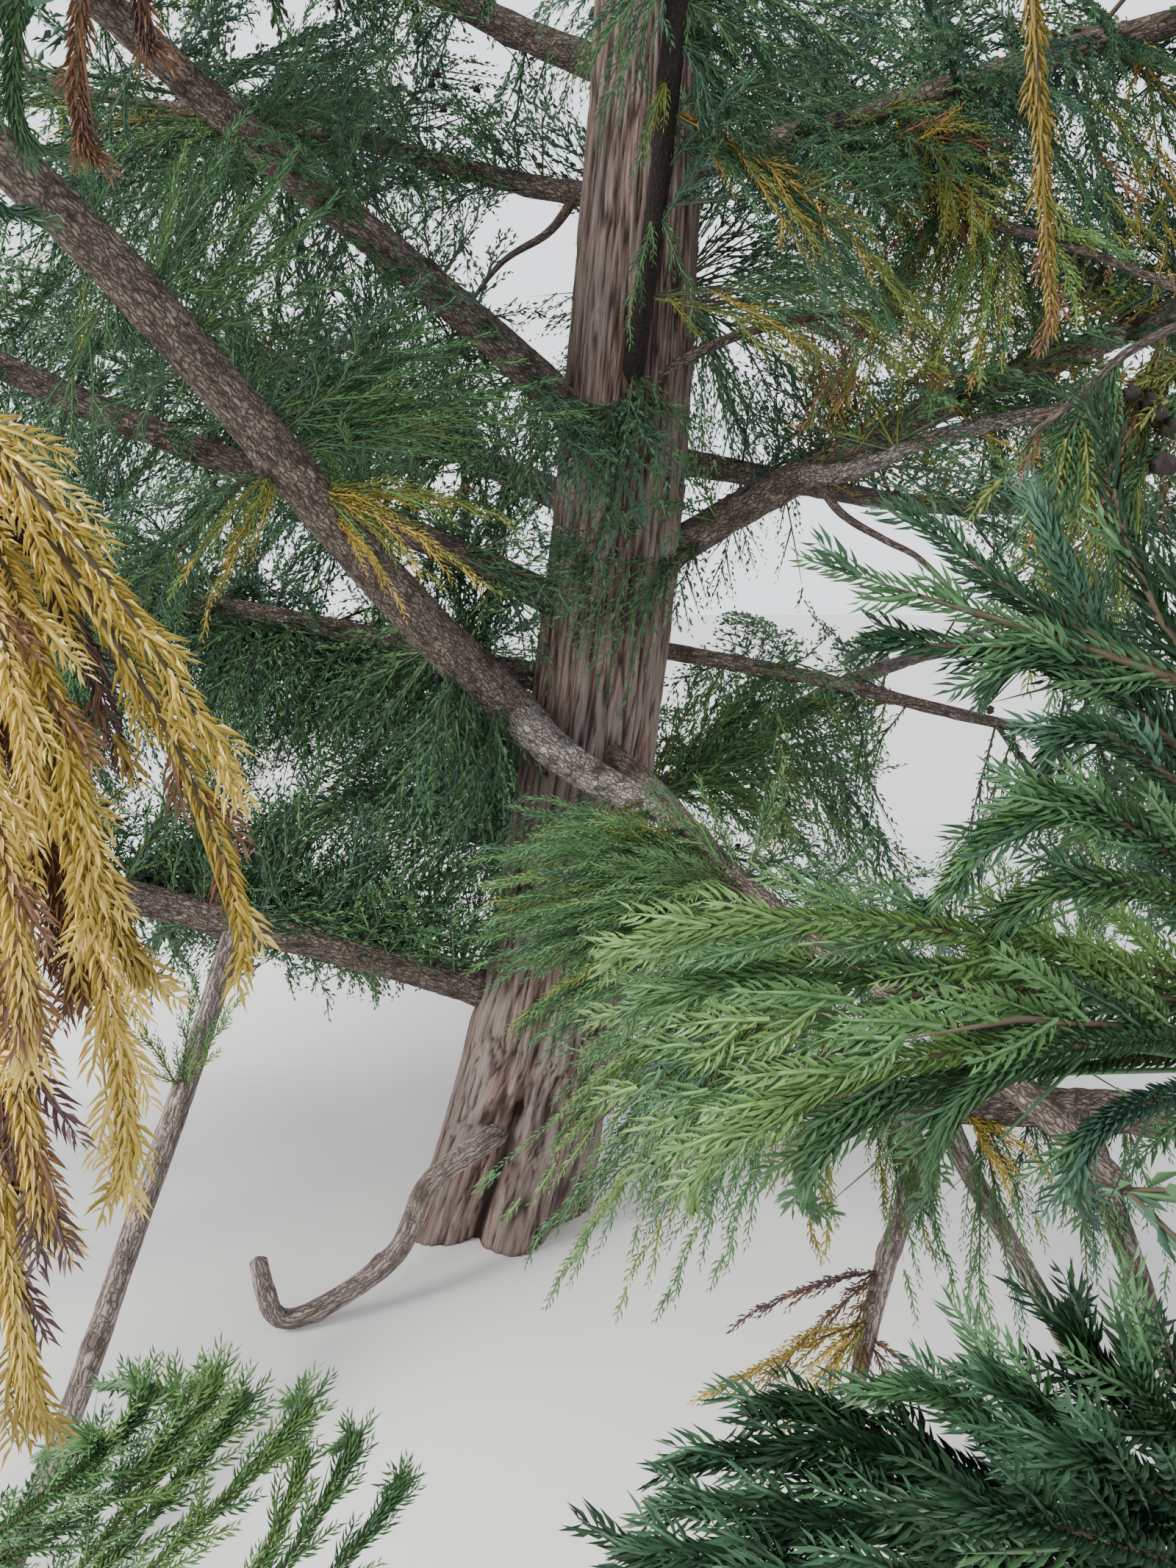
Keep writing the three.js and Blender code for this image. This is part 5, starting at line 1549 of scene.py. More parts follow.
@functools.lru_cache(maxsize=1)
def grow_crown():
    """Every cord, twig and cone of the crown."""
    growth = Growth()
    limbs = all_limbs()
    space = FreeSpace(limbs, hanging_limb())
    for own, limb in enumerate(limbs):
        draw = np.random.default_rng(MASS_SEED + own)
        grow_mass(growth, space, limb, own, draw)
        fill_mass(growth, space, limb, own, draw)
        shoot_on_bare_stretch(growth, limb, own, draw)
        if own >= len(LOWER_LIMBS):
            fill_crown(growth, space, limb, own, draw)
    dress_leader(growth, len(limbs) - 1, np.random.default_rng(MASS_SEED + 3))
    dress_side_branches(growth, np.random.default_rng(MASS_SEED + 4))
    reach_into_view(growth, space, np.random.default_rng(MASS_SEED + 1))
    place_sprays(growth, np.random.default_rng(MASS_SEED))
    place_ropes(growth, np.random.default_rng(MASS_SEED + 2))
    hang_cones(growth, np.random.default_rng(MASS_SEED + 5))
    return growth


# Meshes from cords


def join_rows(rows, key):
    return np.concatenate([row[key] for row in rows])


def curve_at(start, run, bend, share):
    share = share[..., None]
    return start + run * share + bend * share**2


def cord_frame(forward, flat):
    """The cord's crossways direction made square to it, and the one square to both."""
    flat = unit(flat - forward * (flat * forward).sum(1, keepdims=True))
    return flat, np.cross(forward, flat)


def repeated(pattern, corners):
    """The triangles of one shape, repeated for each row of corners, and the corners in one list."""
    count, each = corners.shape[:2]
    base = np.arange(count)[:, None, None] * each
    return corners.reshape(-1, 3), (base + np.array(pattern)[None]).reshape(-1, 3)


def needle_counts(run, size):
    reach = np.linalg.norm(run, axis=1)
    return np.maximum((reach / size["pitch"]).astype(int), FEWEST_NEEDLES)


def needle_arrays(cords, size):
    """Corners and triangles of the needles of cords of one grade, and each triangle's colour.

    A needle is a kite folded along its middle: it leans out from the cord and its point turns in.
    """
    counts = needle_counts(cords["run"], size)
    cord, order = numbered(counts)
    share = (order + 0.5) / counts[cord]
    run, bend = cords["run"][cord], cords["bend"][cord]
    root = curve_at(cords["start"][cord], run, bend, share)
    forward = unit(run + 2 * bend * share[:, None])
    flat, raised = cord_frame(forward, cords["across"][cord])
    turn = (np.radians(GOLDEN_TURN) * order + cord * CORD_TURN)[:, None]
    outward = unit(np.cos(turn) * flat + NEEDLE_FLATNESS * np.sin(turn) * raised)
    vary = 1 + NEEDLE_UNEVENNESS * np.sin(cord * 12.9 + order * 78.2)
    long = (size["length"] * vary * (1.06 - NEEDLE_SHORTENING * share**4)
            * np.minimum(0.6 + share * 3, 1))[:, None]
    tip = root + long * (NEEDLE_TIP["forward"] * forward + NEEDLE_TIP["outward"] * outward)
    middle = root + long * NEEDLE_MIDDLE["at"] * (NEEDLE_MIDDLE["forward"] * forward
                                                  + NEEDLE_MIDDLE["outward"] * outward)
    half = np.cross(forward, outward) * (size["width"] * 0.5 * np.minimum(long / size["length"], 1))
    fold = outward * (NEEDLE_FOLD * size["width"])
    corners = np.stack([root, middle - half + fold, tip, middle + half + fold], axis=1)
    base = np.arange(len(cord))[:, None] * 4
    triangles = np.concatenate([base + [0, 1, 2], base + [0, 2, 3]])
    return corners.reshape(-1, 3), triangles, np.tile(cords["colour"][cord], 2)


def core_arrays(cords, size, plain):
    """The thin three-sided cores that the needles stand on, each closed to a point, with a ring
    halfway unless they are plain."""
    count = len(cords["start"])
    curve = cords["start"], cords["run"], cords["bend"]
    places = [(0.0, 1.0)] if plain else [(0.0, 1.0), CORE_MIDDLE]
    rings = []
    for place, thickness in places:
        centre = curve_at(*curve, np.full(count, place))
        forward = unit(cords["run"] + 2 * cords["bend"] * place)
        flat, raised = cord_frame(forward, cords["across"])
        for side in range(CORE_SIDES):
            turn = 2 * math.pi * side / CORE_SIDES
            outward = math.cos(turn) * flat + math.sin(turn) * raised
            rings.append(centre + size["core"] * thickness * outward)
    rings.append(curve_at(*curve, np.ones(count)))
    pattern = []
    last = (len(places) - 1) * CORE_SIDES
    for side in range(CORE_SIDES):
        after = (side + 1) % CORE_SIDES
        if not plain:
            pattern += [(side, after, last + after), (side, last + after, last + side)]
        pattern.append((last + side, last + after, last + CORE_SIDES))
    corners, triangles = repeated(pattern, np.stack(rings, axis=1))
    return corners, triangles, np.repeat(cords["colour"], len(pattern))


def tube_pattern(sides, rings, flip):
    """Two triangles for each side between the rings of a tube."""
    pattern = []
    for ring in range(rings - 1):
        for side in range(sides):
            a, b = ring * sides + side, ring * sides + (side + 1) % sides
            c, d = a + sides, b + sides
            pattern += [(a, d, b), (a, c, d)] if flip else [(a, b, d), (a, d, c)]
    return pattern


def twig_arrays(twigs):
    """Corners and triangles of round tapering twigs, each closed to a point."""
    start, run, bend, foot, tip = (np.array(values) for values in zip(*twigs))
    columns = []
    for step in range(TWIG_STEPS):
        share = step / TWIG_STEPS
        centre = start + run * share + bend * share**2
        side, above = cross_frame(unit(run + 2 * bend * share))
        radius = (foot + (tip - foot) * share)[:, None]
        for turn in np.arange(TWIG_SIDES) * 2 * math.pi / TWIG_SIDES:
            columns.append(centre + radius * (math.cos(turn) * side + math.sin(turn) * above))
    columns.append(start + run + bend)
    last = (TWIG_STEPS - 1) * TWIG_SIDES
    pattern = tube_pattern(TWIG_SIDES, TWIG_STEPS, flip=True)
    pattern += [(last + side, last + TWIG_SIDES, last + (side + 1) % TWIG_SIDES)
                for side in range(TWIG_SIDES)]
    return repeated(pattern, np.stack(columns, axis=1))


def cone_arrays(cones):
    """Corners and triangles of small rounded cones whose scales stand out by turns."""
    tips, pointing, sizes = cones
    side, above = cross_frame(pointing)
    columns = []
    for ring, (along, wide) in enumerate(CONE_RINGS):
        for number in range(CONE_SIDES):
            turn = 2 * math.pi * (number + 0.5 * (ring % 2)) / CONE_SIDES
            scale = 1 + CONE_SCALE_OUT * (-1) ** (ring + number)
            out = wide * scale * CONE_LENGTH * CONE_HALF_WIDTH
            aside = math.cos(turn) * side + math.sin(turn) * above
            columns.append(tips + (aside * out + pointing * along * CONE_LENGTH) * sizes[:, None])
    last = (len(CONE_RINGS) - 1) * CONE_SIDES
    pattern = tube_pattern(CONE_SIDES, len(CONE_RINGS), flip=False)
    for number in range(1, CONE_SIDES - 1):
        pattern += [(0, number + 1, number), (last, last + number, last + number + 1)]
    return repeated(pattern, np.stack(columns, axis=1))


def mesh_object(name, corners, triangles, materials, colour=None, smooth=False):
    """A joined mesh from arrays, at the origin."""
    mesh = bpy.data.meshes.new(name)
    mesh.vertices.add(len(corners))
    mesh.vertices.foreach_set("co", corners.astype(np.float32).ravel())
    mesh.loops.add(len(triangles) * 3)
    mesh.loops.foreach_set("vertex_index", triangles.astype(np.int32).ravel())
    mesh.polygons.add(len(triangles))
    mesh.polygons.foreach_set("loop_start", np.arange(0, len(triangles) * 3, 3, dtype=np.int32))
    for material in materials:
        mesh.materials.append(material)
    if colour is not None:
        mesh.polygons.foreach_set("material_index", colour.astype(np.int32))
    if smooth:
        mesh.polygons.foreach_set("use_smooth", np.ones(len(triangles), bool))
    mesh.update()
    mesh.validate()
    return link_object(name, mesh)


def link_object(name, mesh):
    built = bpy.data.objects.new(name, mesh)
    bpy.context.scene.collection.objects.link(built)
    return built


# Bark meshes


def straight_tube(name, sides, rings):
    """A closed tube of radius 1 whose rings are 1 apart, to be bent along a limb afterwards."""
    bm = bmesh.new()
    line = [bm.verts.new((1, 0, ring)) for ring in range(rings)]
    edges = [bm.edges.new(pair) for pair in zip(line, line[1:])]
    bmesh.ops.spin(bm, geom=line + edges, cent=(0, 0, 0), axis=(0, 0, 1), dvec=(0, 0, 0),
                   angle=2 * math.pi, steps=sides, use_merge=True, use_duplicate=False)
    bmesh.ops.holes_fill(bm, edges=[edge for edge in bm.edges if edge.is_boundary], sides=0)
    bmesh.ops.recalc_face_normals(bm, faces=bm.faces)
    mesh = bpy.data.meshes.new(name)
    bm.to_mesh(mesh)
    bm.free()
    mesh.polygons.foreach_set("use_smooth", np.ones(len(mesh.polygons), bool))
    return link_object(name, mesh)


def tube_places(tube):
    """Each corner's ring number and angle."""
    places = np.empty(len(tube.data.vertices) * 3, np.float32)
    tube.data.vertices.foreach_get("co", places)
    places = places.reshape(-1, 3)
    return np.round(places[:, 2]).astype(int), np.arctan2(places[:, 1], places[:, 0])


def noise_values(points):
    return np.array([noise.noise(point) for point in points.tolist()])


def set_corners(tube, corners, grain, hollow):
    """Moves the tube's corners, and keeps where each is along the grain and a mask of painted shade where
    it lies deep, with the boughs' dark knot scars.
    """
    mesh = tube.data
    mesh.vertices.foreach_set("co", corners.astype(np.float32).ravel())
    attribute = mesh.attributes.new("grain", "FLOAT_VECTOR", "POINT")
    attribute.data.foreach_set("vector", grain.astype(np.float32).ravel())
    attribute = mesh.attributes.new("hollow", "FLOAT", "POINT")
    attribute.data.foreach_set("value", hollow.astype(np.float32))
    mesh.update()


def trunk_heights():
    """Ring heights: close together where the trunk is looked at, wider above."""
    heights = [0.0]
    while heights[-1] < TREE_HEIGHT - RING_STEP_UP:
        above = heights[-1] - RELIEF_HEIGHT
        step = RING_STEP if above < 0 else RING_STEP_UP + RING_STEP_GAIN * above
        heights.append(min(heights[-1] + min(step, WIDEST_RING_STEP), TREE_HEIGHT))
    return np.array(heights)


def trunk_relief(angle, height, depth):
    """How far the bark stands out at each corner: long strips, furrows and the knot's swirl, and a mask
    of painted shade for the furrows, the knot's hole and rings, and the fold.
    """
    around = np.stack([np.cos(angle), np.sin(angle)], axis=1)
    across = np.radians(angle_from(angle, KNOT_ANGLE)) * 0.2
    away = np.hypot(across, (height - KNOT_HEIGHT) * 0.8)
    broken, rise = KNOT_UNEVENNESS["scale"]
    uneven = noise_values(np.column_stack([around * broken, height * rise]) + 11)
    away = away * (1 + KNOT_UNEVENNESS["reach"] * uneven)
    swirl = np.exp(-(away / KNOT_REACH) ** 2)
    level = np.zeros_like(across)
    pushed = across * swirl * KNOT_PUSH
    grain = (np.column_stack([around * GRAIN_RADIUS, height])
             + np.column_stack([pushed, level, level]))
    wander = noise_values(grain * BARK_WANDER["scale"])
    wandered = grain + np.column_stack([wander, -wander, level]) * BARK_WANDER["reach"]
    strips = noise_values(wandered * BARK_STRIPS["scale"])
    fine = noise_values(wandered * BARK_FIBRES["scale"] + 7)
    broad = noise_values(grain * BARK_SWELLS["scale"] + 3)
    furrow = np.clip(1 - np.abs(strips) * BARK_STRIPS["sharpness"], 0, 1)
    rings = np.cos(away * KNOT_RINGS)
    relief = depth * (0.75 - BARK_STRIPS["depth"] * furrow**2 + BARK_FIBRES["depth"] * fine)
    relief = (relief * (1 - 0.4 * swirl) + KNOT_RING_DEPTH * (rings * swirl)
              + BARK_SWELLS["depth"] * broad)
    relief += KNOT_DEPTH * np.exp(-((away - KNOT_RIM["at"]) / KNOT_RIM["width"]) ** 2)
    hole = np.exp(-(away / KNOT_HOLE) ** 2)
    relief -= KNOT_DEPTH * hole
    # Painted shade: the bottoms of the furrows, the knot's hole, the grooves between its rings and the
    # fold at the foot are marked to be darkened.
    hollow = np.maximum(furrow**1.5, 1.4 * hole)
    hollow = np.maximum(hollow, swirl * np.clip(-0.2 - rings, 0, 1))
    return relief, np.maximum(hollow, fold_depth(angle, height) * 0.9)


def fold_depth(angle, height):
    """The fold between the foot's two great ridges, which runs down from the knot to one side."""
    away = angle_from(angle, FOLD_ANGLE - FOLD_LEAN * (KNOT_HEIGHT - height))
    return np.exp(-(away / FOLD_WIDTH) ** 2) * np.exp(-(height / FOLD_HEIGHT) ** 4)


def foot_shape(angle, height):
    """The flare's lobes, the fold, and the ridges to either side of it."""
    lobes = LOBE_DEPTH * np.exp(-height / LOBE_HEIGHT) * np.cos(ROOT_LOBES * angle)
    shape = 1 + lobes - FOLD_DEPTH * fold_depth(angle, height)
    for place, share, width, reach in FOOT_RIDGES:
        away = angle_from(angle, FOLD_ANGLE) - place
        shape = shape + share * np.exp(-(away / width) ** 2) * np.exp(-(height / reach) ** 2)
    return shape


def build_trunk(settings):
    heights = trunk_heights()
    tube = straight_tube("trunk_bark", settings.trunk_sides, len(heights))
    ring, angle = tube_places(tube)
    height = heights[ring]
    relief, hollow = trunk_relief(angle, height, settings.furrow_depth)
    thin = np.clip(trunk_radius(height) / FULL_RELIEF_RADIUS, 0, 1)
    radius = trunk_radius(height) * foot_shape(angle, height) + relief * thin
    radius = np.where(ring == len(heights) - 1, TRUNK_TIP_RADIUS * 0.3, radius)
    outward = np.column_stack([np.cos(angle), np.sin(angle), np.zeros_like(angle)])
    corners = trunk_centre(height) + outward * radius[:, None]
    corners[:, 2] = np.maximum(corners[:, 2], 0)
    around = np.cos(angle) * GRAIN_RADIUS, np.sin(angle) * GRAIN_RADIUS
    set_corners(tube, corners, np.column_stack([*around, height]), hollow)
    return tube


def build_limb(name, limb, last, sides, ring_step, depth):
    """A limb's bark from its root to a distance along it, with a rounded end."""
    rings = int(last / ring_step) + 2
    tube = straight_tube(name, sides, rings)
    ring, angle = tube_places(tube)
    distance = last * ring / (rings - 1)
    side, above = cross_frame(limb.direction(distance))
    radius = limb.thickness(distance)
    around = np.cos(angle) * PLATE_GRAIN_RADIUS, np.sin(angle) * PLATE_GRAIN_RADIUS
    grain = np.column_stack([*around, distance])
    grain = grain * np.maximum(radius / PLATE_GRAIN_RADIUS, SMALLEST_GRAIN)[:, None] ** [1, 1, 0]
    shift = sum(map(ord, name)) * 0.37
    broad = noise_values(grain * BOUGH_SWELLS["scale"] + shift)
    knots = knot_scars(distance, angle, radius, last, int(shift * 10))
    plates = noise_values(grain * PLATES["scale"] + shift)
    fine = noise_values(grain * PLATE_FIBRES["scale"] + shift)
    crack = np.clip(1 - np.abs(plates) * PLATES["sharpness"], 0, 1)
    relief = (depth * (0.5 - crack**2 + PLATE_FIBRES["depth"] * fine)
              * np.clip(radius / FULL_PLATE_RADIUS, 0.15, 1))
    radius = radius * (1 + BOUGH_SWELLS["depth"] * broad) + relief + KNOT_RISE * knots
    radius = np.where(ring == rings - 1, radius * END_SHARE, radius)
    outward = np.cos(angle)[:, None] * side + np.sin(angle)[:, None] * above
    corners = limb.point(distance) + outward * radius[:, None]
    corners[:, 2] = np.maximum(corners[:, 2], LOWEST_BARK)
    # Painted shade in the relief's cracks, with the knot scars' own dark colour, for the bark to darken.
    set_corners(tube, corners, grain, np.maximum(crack, 1.5 * knots))
    return tube


def knot_scars(distance, angle, radius, last, seed):
    """Dark knots where twigs have fallen, scattered along a limb and round it."""
    draw = np.random.default_rng(seed)
    scars = np.zeros_like(distance)
    places = np.arange(SCAR_FIRST, last, SCAR_PITCH)
    for place in places + draw.uniform(-SCAR_SCATTER, SCAR_SCATTER, len(places)):
        turn = (angle - draw.uniform(-math.pi, math.pi) + math.pi) % (2 * math.pi) - math.pi
        away = np.hypot(distance - place, turn * radius) / (SCAR_SIZE * draw.uniform(*SCAR_SIZES))
        scars = np.maximum(scars, np.exp(-away**2))
    return scars * (radius > SCARS_DOWN_TO)


# Materials


def new_material(name, roughness):
    material = bpy.data.materials.new(name)
    material.use_nodes = True
    shader = material.node_tree.nodes["Principled BSDF"]
    shader.inputs["Roughness"].default_value = roughness
    shader.inputs["Specular IOR Level"].default_value = 0.3
    return material, material.node_tree, shader


def stretched_noise(tree, vector, scale, detail, roughness, distortion=0.0):
    """Noise drawn out along the grain by its own scale in each direction."""
    mapping = tree.nodes.new("ShaderNodeMapping")
    mapping.inputs["Scale"].default_value = scale
    tree.links.new(vector, mapping.inputs["Vector"])
    texture = tree.nodes.new("ShaderNodeTexNoise")
    texture.inputs["Scale"].default_value = 1.0
    texture.inputs["Detail"].default_value = detail
    texture.inputs["Roughness"].default_value = roughness
    texture.inputs["Distortion"].default_value = distortion
    tree.links.new(mapping.outputs["Vector"], texture.inputs["Vector"])
    return texture.outputs["Fac"]


def ramp(tree, value, stops):
    node = tree.nodes.new("ShaderNodeValToRGB")
    while len(node.color_ramp.elements) < len(stops):
        node.color_ramp.elements.new(0.5)
    for element, (place, colour) in zip(node.color_ramp.elements, stops):
        element.position = place
        element.color = (*colour, 1) if len(colour) == 3 else colour
    tree.links.new(value, node.inputs["Fac"])
    return node.outputs["Color"]


def grey_ramp(tree, value, low, high, dark=0.0, light=1.0):
    return ramp(tree, value, [(low, (dark,) * 3), (high, (light,) * 3)])


def mixed(tree, factor, first, second):
    """One colour over another, by a factor from a socket."""
    node = tree.nodes.new("ShaderNodeMix")
    node.data_type = "RGBA"
    sockets = {socket.identifier: socket for socket in node.inputs}
    tree.links.new(factor, sockets["Factor_Float"])
    for value, socket in ((first, sockets["A_Color"]), (second, sockets["B_Color"])):
        if isinstance(value, bpy.types.NodeSocket):
            tree.links.new(value, socket)
        else:
            socket.default_value = (*value, 1)
    return next(socket for socket in node.outputs if socket.identifier == "Result_Color")


def attribute(tree, name, output):
    node = tree.nodes.new("ShaderNodeAttribute")
    node.attribute_name = name
    return node.outputs[output]


def add_bump(tree, shader, heights):
    """Bumps in turn, each with its own depth in metres and strength."""
    normal = None
    for height, distance, strength in heights:
        bump = tree.nodes.new("ShaderNodeBump")
        bump.inputs["Distance"].default_value = distance
        bump.inputs["Strength"].default_value = strength
        tree.links.new(height, bump.inputs["Height"])
        if normal is not None:
            tree.links.new(normal, bump.inputs["Normal"])
        normal = bump.outputs["Normal"]
    tree.links.new(normal, shader.inputs["Normal"])


def trunk_material(settings):
    """Red-brown bark in long fibrous strips, with grey patches."""
    material, tree, shader = new_material("trunk_strips", 0.88)
    grain = attribute(tree, "grain", "Vector")
    hollow = attribute(tree, "hollow", "Fac")
    strips = stretched_noise(tree, grain, (92, 92, 6.5), detail=8, roughness=0.72, distortion=0.9)
    fibres = stretched_noise(tree, grain, (300, 300, 16), detail=5, roughness=0.7)
    blotches = stretched_noise(tree, grain, (12, 12, 3.4), detail=5, roughness=0.6)
    colour = ramp(tree, strips, [(0.38, settings.trunk_dark), (0.49, settings.trunk_middle),
                                 (0.62, settings.trunk_light)])
    colour = mixed(tree, grey_ramp(tree, blotches, 0.42, 0.66), colour, settings.trunk_grey)
    shade = grey_ramp(tree, fibres, 0.30, 0.70, dark=0.55, light=1.25)
    colour = mixed(tree, shade, (0, 0, 0), colour)
    # Painted shade: the furrows, the knot hole and the fold darken towards the trunk's shade colour.
    depth = grey_ramp(tree, hollow, 0.30, 0.90, light=0.9)
    colour = mixed(tree, depth, colour, settings.trunk_furrow_shade)
    tree.links.new(colour, shader.inputs["Base Color"])
    add_bump(tree, shader, [(strips, 0.007, 0.8), (fibres, 0.002, 0.9)])
    return material


def bark_plates(tree, grain, scale):
    """How far each place is from the nearest crack between plates, and each plate's own shade."""
    wander = tree.nodes.new("ShaderNodeTexNoise")
    wander.inputs["Scale"].default_value = 60
    wander.inputs["Detail"].default_value = 3
    tree.links.new(grain, wander.inputs["Vector"])
    shift = tree.nodes.new("ShaderNodeVectorMath")
    shift.operation = "MULTIPLY_ADD"
    shift.inputs[1].default_value = (0.016, 0.016, 0.03)
    tree.links.new(wander.outputs["Color"], shift.inputs[0])
    tree.links.new(grain, shift.inputs[2])
    mapping = tree.nodes.new("ShaderNodeMapping")
    mapping.inputs["Scale"].default_value = scale
    tree.links.new(shift.outputs["Vector"], mapping.inputs["Vector"])
    found = []
    for feature, output in (("DISTANCE_TO_EDGE", "Distance"), ("F1", "Color")):
        cells = tree.nodes.new("ShaderNodeTexVoronoi")
        cells.feature = feature
        cells.inputs["Scale"].default_value = 1.0
        tree.links.new(mapping.outputs["Vector"], cells.inputs["Vector"])
        found.append(cells.outputs[output])
    return found


def bough_material(name, light, dark, fissure, scale=PLATE_SCALE):
    """Dark bark in small flaky plates along the limb, with cracks between them, painted shade in the
    relief's cracks, and dark knot scars.
    """
    material, tree, shader = new_material(name, 0.86)
    grain = attribute(tree, "grain", "Vector")
    hollow = attribute(tree, "hollow", "Fac")
    gap, shade = bark_plates(tree, grain, scale)
    fibres = stretched_noise(tree, grain, (330, 330, 70), detail=5, roughness=0.65)
    blotches = stretched_noise(tree, grain, (26, 26, 12), detail=5, roughness=0.6)
    colour = ramp(tree, fibres, [(0.34, dark), (0.66, light)])
    colour = mixed(tree, grey_ramp(tree, shade, 0.15, 0.85, dark=0.6, light=1.15), (0, 0, 0),
                   colour)
    colour = mixed(tree, grey_ramp(tree, blotches, 0.42, 0.70, light=0.6), colour, dark)
    colour = mixed(tree, grey_ramp(tree, gap, 0.01, 0.13, dark=0.85, light=0.0), colour, fissure)
    # Painted shade in the relief's cracks, and the dark knot scars, both in the crack colour.
    colour = mixed(tree, grey_ramp(tree, hollow, 0.4, 1.0, light=0.8), colour, fissure)
    tree.links.new(colour, shader.inputs["Base Color"])
    edges = grey_ramp(tree, gap, 0.0, 0.22)
    add_bump(tree, shader, [(edges, 0.004, 0.9), (shade, 0.003, 0.5), (fibres, 0.0012, 0.7)])
    return material


def plain_material(name, colour, roughness):
    material, _, shader = new_material(name, roughness)
    shader.inputs["Base Color"].default_value = (*colour, 1)
    return material


# Sizes and colours a user may change


def colour_property(name, description, default):
    return FloatVectorProperty(name=name, description=description, default=default, subtype="COLOR",
                               size=3, min=0, max=1)


class CEDAR_PG_bark(bpy.types.PropertyGroup):
    trunk_sides: IntProperty(
        name="Trunk sides", description="Faces round the trunk", default=208, min=24, max=400)
    furrow_depth: FloatProperty(
        name="Furrow depth", description="Depth of the trunk's furrows", default=0.0085, min=0,
        max=0.03, unit="LENGTH")
    plate_depth: FloatProperty(
        name="Plate depth", description="Depth of the cracks between the boughs' bark plates",
        default=0.0032, min=0, max=0.01, unit="LENGTH")
    trunk_light: colour_property("Trunk light", "Raised fibres of the trunk", (0.370, 0.280, 0.240))
    trunk_middle: colour_property("Trunk middle", "The trunk's main colour", (0.200, 0.130, 0.106))
    trunk_dark: colour_property("Trunk dark", "Between the trunk's strips", (0.066, 0.037, 0.029))
    trunk_grey: colour_property("Trunk grey", "Weathered patches", (0.255, 0.210, 0.192))
    # The colour of the painted shade in the trunk's furrows, knot hole and fold.
    trunk_furrow_shade: colour_property("Trunk fissure", "The bottom of the furrows",
                                   (0.028, 0.013, 0.011))
    bough_light: colour_property("Bough light", "Raised plates of the boughs",
                                 (0.340, 0.275, 0.235))
    bough_dark: colour_property("Bough dark", "The boughs' main colour", (0.135, 0.100, 0.084))
    # Colour of the cracks between plates, and of the painted shade in the relief's cracks and of the knot
    # scars.
    bough_crack_and_shade: colour_property("Bough fissure", "Cracks in the boughs' bark",
                                   (0.03, 0.02, 0.017))
    # Painted shade: a darker copy of the bough colours for the overhead bough, which stands in shade.
    overhead_painted_shade_light: colour_property("Shaded bough light", "Raised plates of the overhead bough",
                                  (0.034, 0.028, 0.024))
    overhead_painted_shade_dark: colour_property("Shaded bough dark", "The overhead bough's main colour",
                                 (0.014, 0.011, 0.009))
    weathered_light: colour_property("Weathered light", "Lit plates of the weathered branch",
                                     (0.52, 0.47, 0.43))
    weathered_dark: colour_property("Weathered dark", "The weathered branch's main colour",
                                    (0.24, 0.20, 0.18))
    dead_light: colour_property("Dead wood light", "Bleached dead wood", (0.50, 0.42, 0.38))
    dead_dark: colour_property("Dead wood dark", "Weathered dead wood", (0.27, 0.215, 0.195))
    # Colour of the dead wood's cracks, and of the painted shade in the relief's cracks and of the knot
    # scars.
    dead_crack_and_shade: colour_property("Dead wood crack", "Cracks in the dead wood",
                                  (0.08, 0.055, 0.045))


class CEDAR_PG_foliage(bpy.types.PropertyGroup):
    roughness: FloatProperty(
        name="Needle roughness", description="How matt the needles are", default=0.5, min=0, max=1,
        subtype="FACTOR")
    deep: colour_property("Deep", "Old needles in shade", (0.040, 0.096, 0.048))
    blue: colour_property("Blue", "Blue-green needles", (0.066, 0.140, 0.090))
    leaf: colour_property("Green", "Most needles", (0.076, 0.162, 0.070))
    fresh: colour_property("Fresh", "This year's needles", (0.099, 0.202, 0.073))
    light: colour_property("Light", "Fresh tips", (0.158, 0.280, 0.088))
    olive: colour_property("Olive", "Needles starting to turn", (0.165, 0.205, 0.050))
    ochre: colour_property("Ochre", "Turned needles", (0.310, 0.225, 0.050))
    gold: colour_property("Gold", "Brightest turned needles", (0.480, 0.355, 0.070))
    rust: colour_property("Rust", "Dying needles", (0.190, 0.100, 0.056))
    plum: colour_property("Plum", "Dead needles", (0.105, 0.058, 0.055))
    amber: colour_property("Amber", "Turned needles in full light", (0.660, 0.500, 0.135))
    dusk: colour_property("Dusk", "Old needles in deep shade", (0.011, 0.036, 0.014))
    twig: colour_property("Twig", "Young woody twigs", (0.085, 0.065, 0.040))
    cone: colour_property("Cone", "Ripe cones", (0.026, 0.019, 0.015))


class CEDAR_PG_stage(bpy.types.PropertyGroup):
    floor_colour: colour_property("Floor", "The plain floor", (0.78, 0.77, 0.75))
    sky_strength: FloatProperty(name="Sky", description="Strength of the light from all round",
                                default=1.85, min=0)
    key_power: FloatProperty(name="Key light", description="Power of the large soft light",
                             default=2100, min=0, unit="POWER")


# Building


def finish_piece(piece, materials, nodes):
    """Gives a piece its materials and its body, and hides the nodes that it stands for."""
    if not piece.data.materials:
        for material in materials:
            piece.data.materials.append(material)
    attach(piece, "root")
    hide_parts(*nodes)


class CEDAR_OT_trunk(bpy.types.Operator):
    """Build the trunk's bark in place of its solid"""

    bl_idname = "cedar.trunk"
    bl_label = "Trunk"

    def execute(self, context):
        settings = context.scene.cedar_bark
        finish_piece(build_trunk(settings), [trunk_material(settings)], ["trunk"])
        return {"FINISHED"}


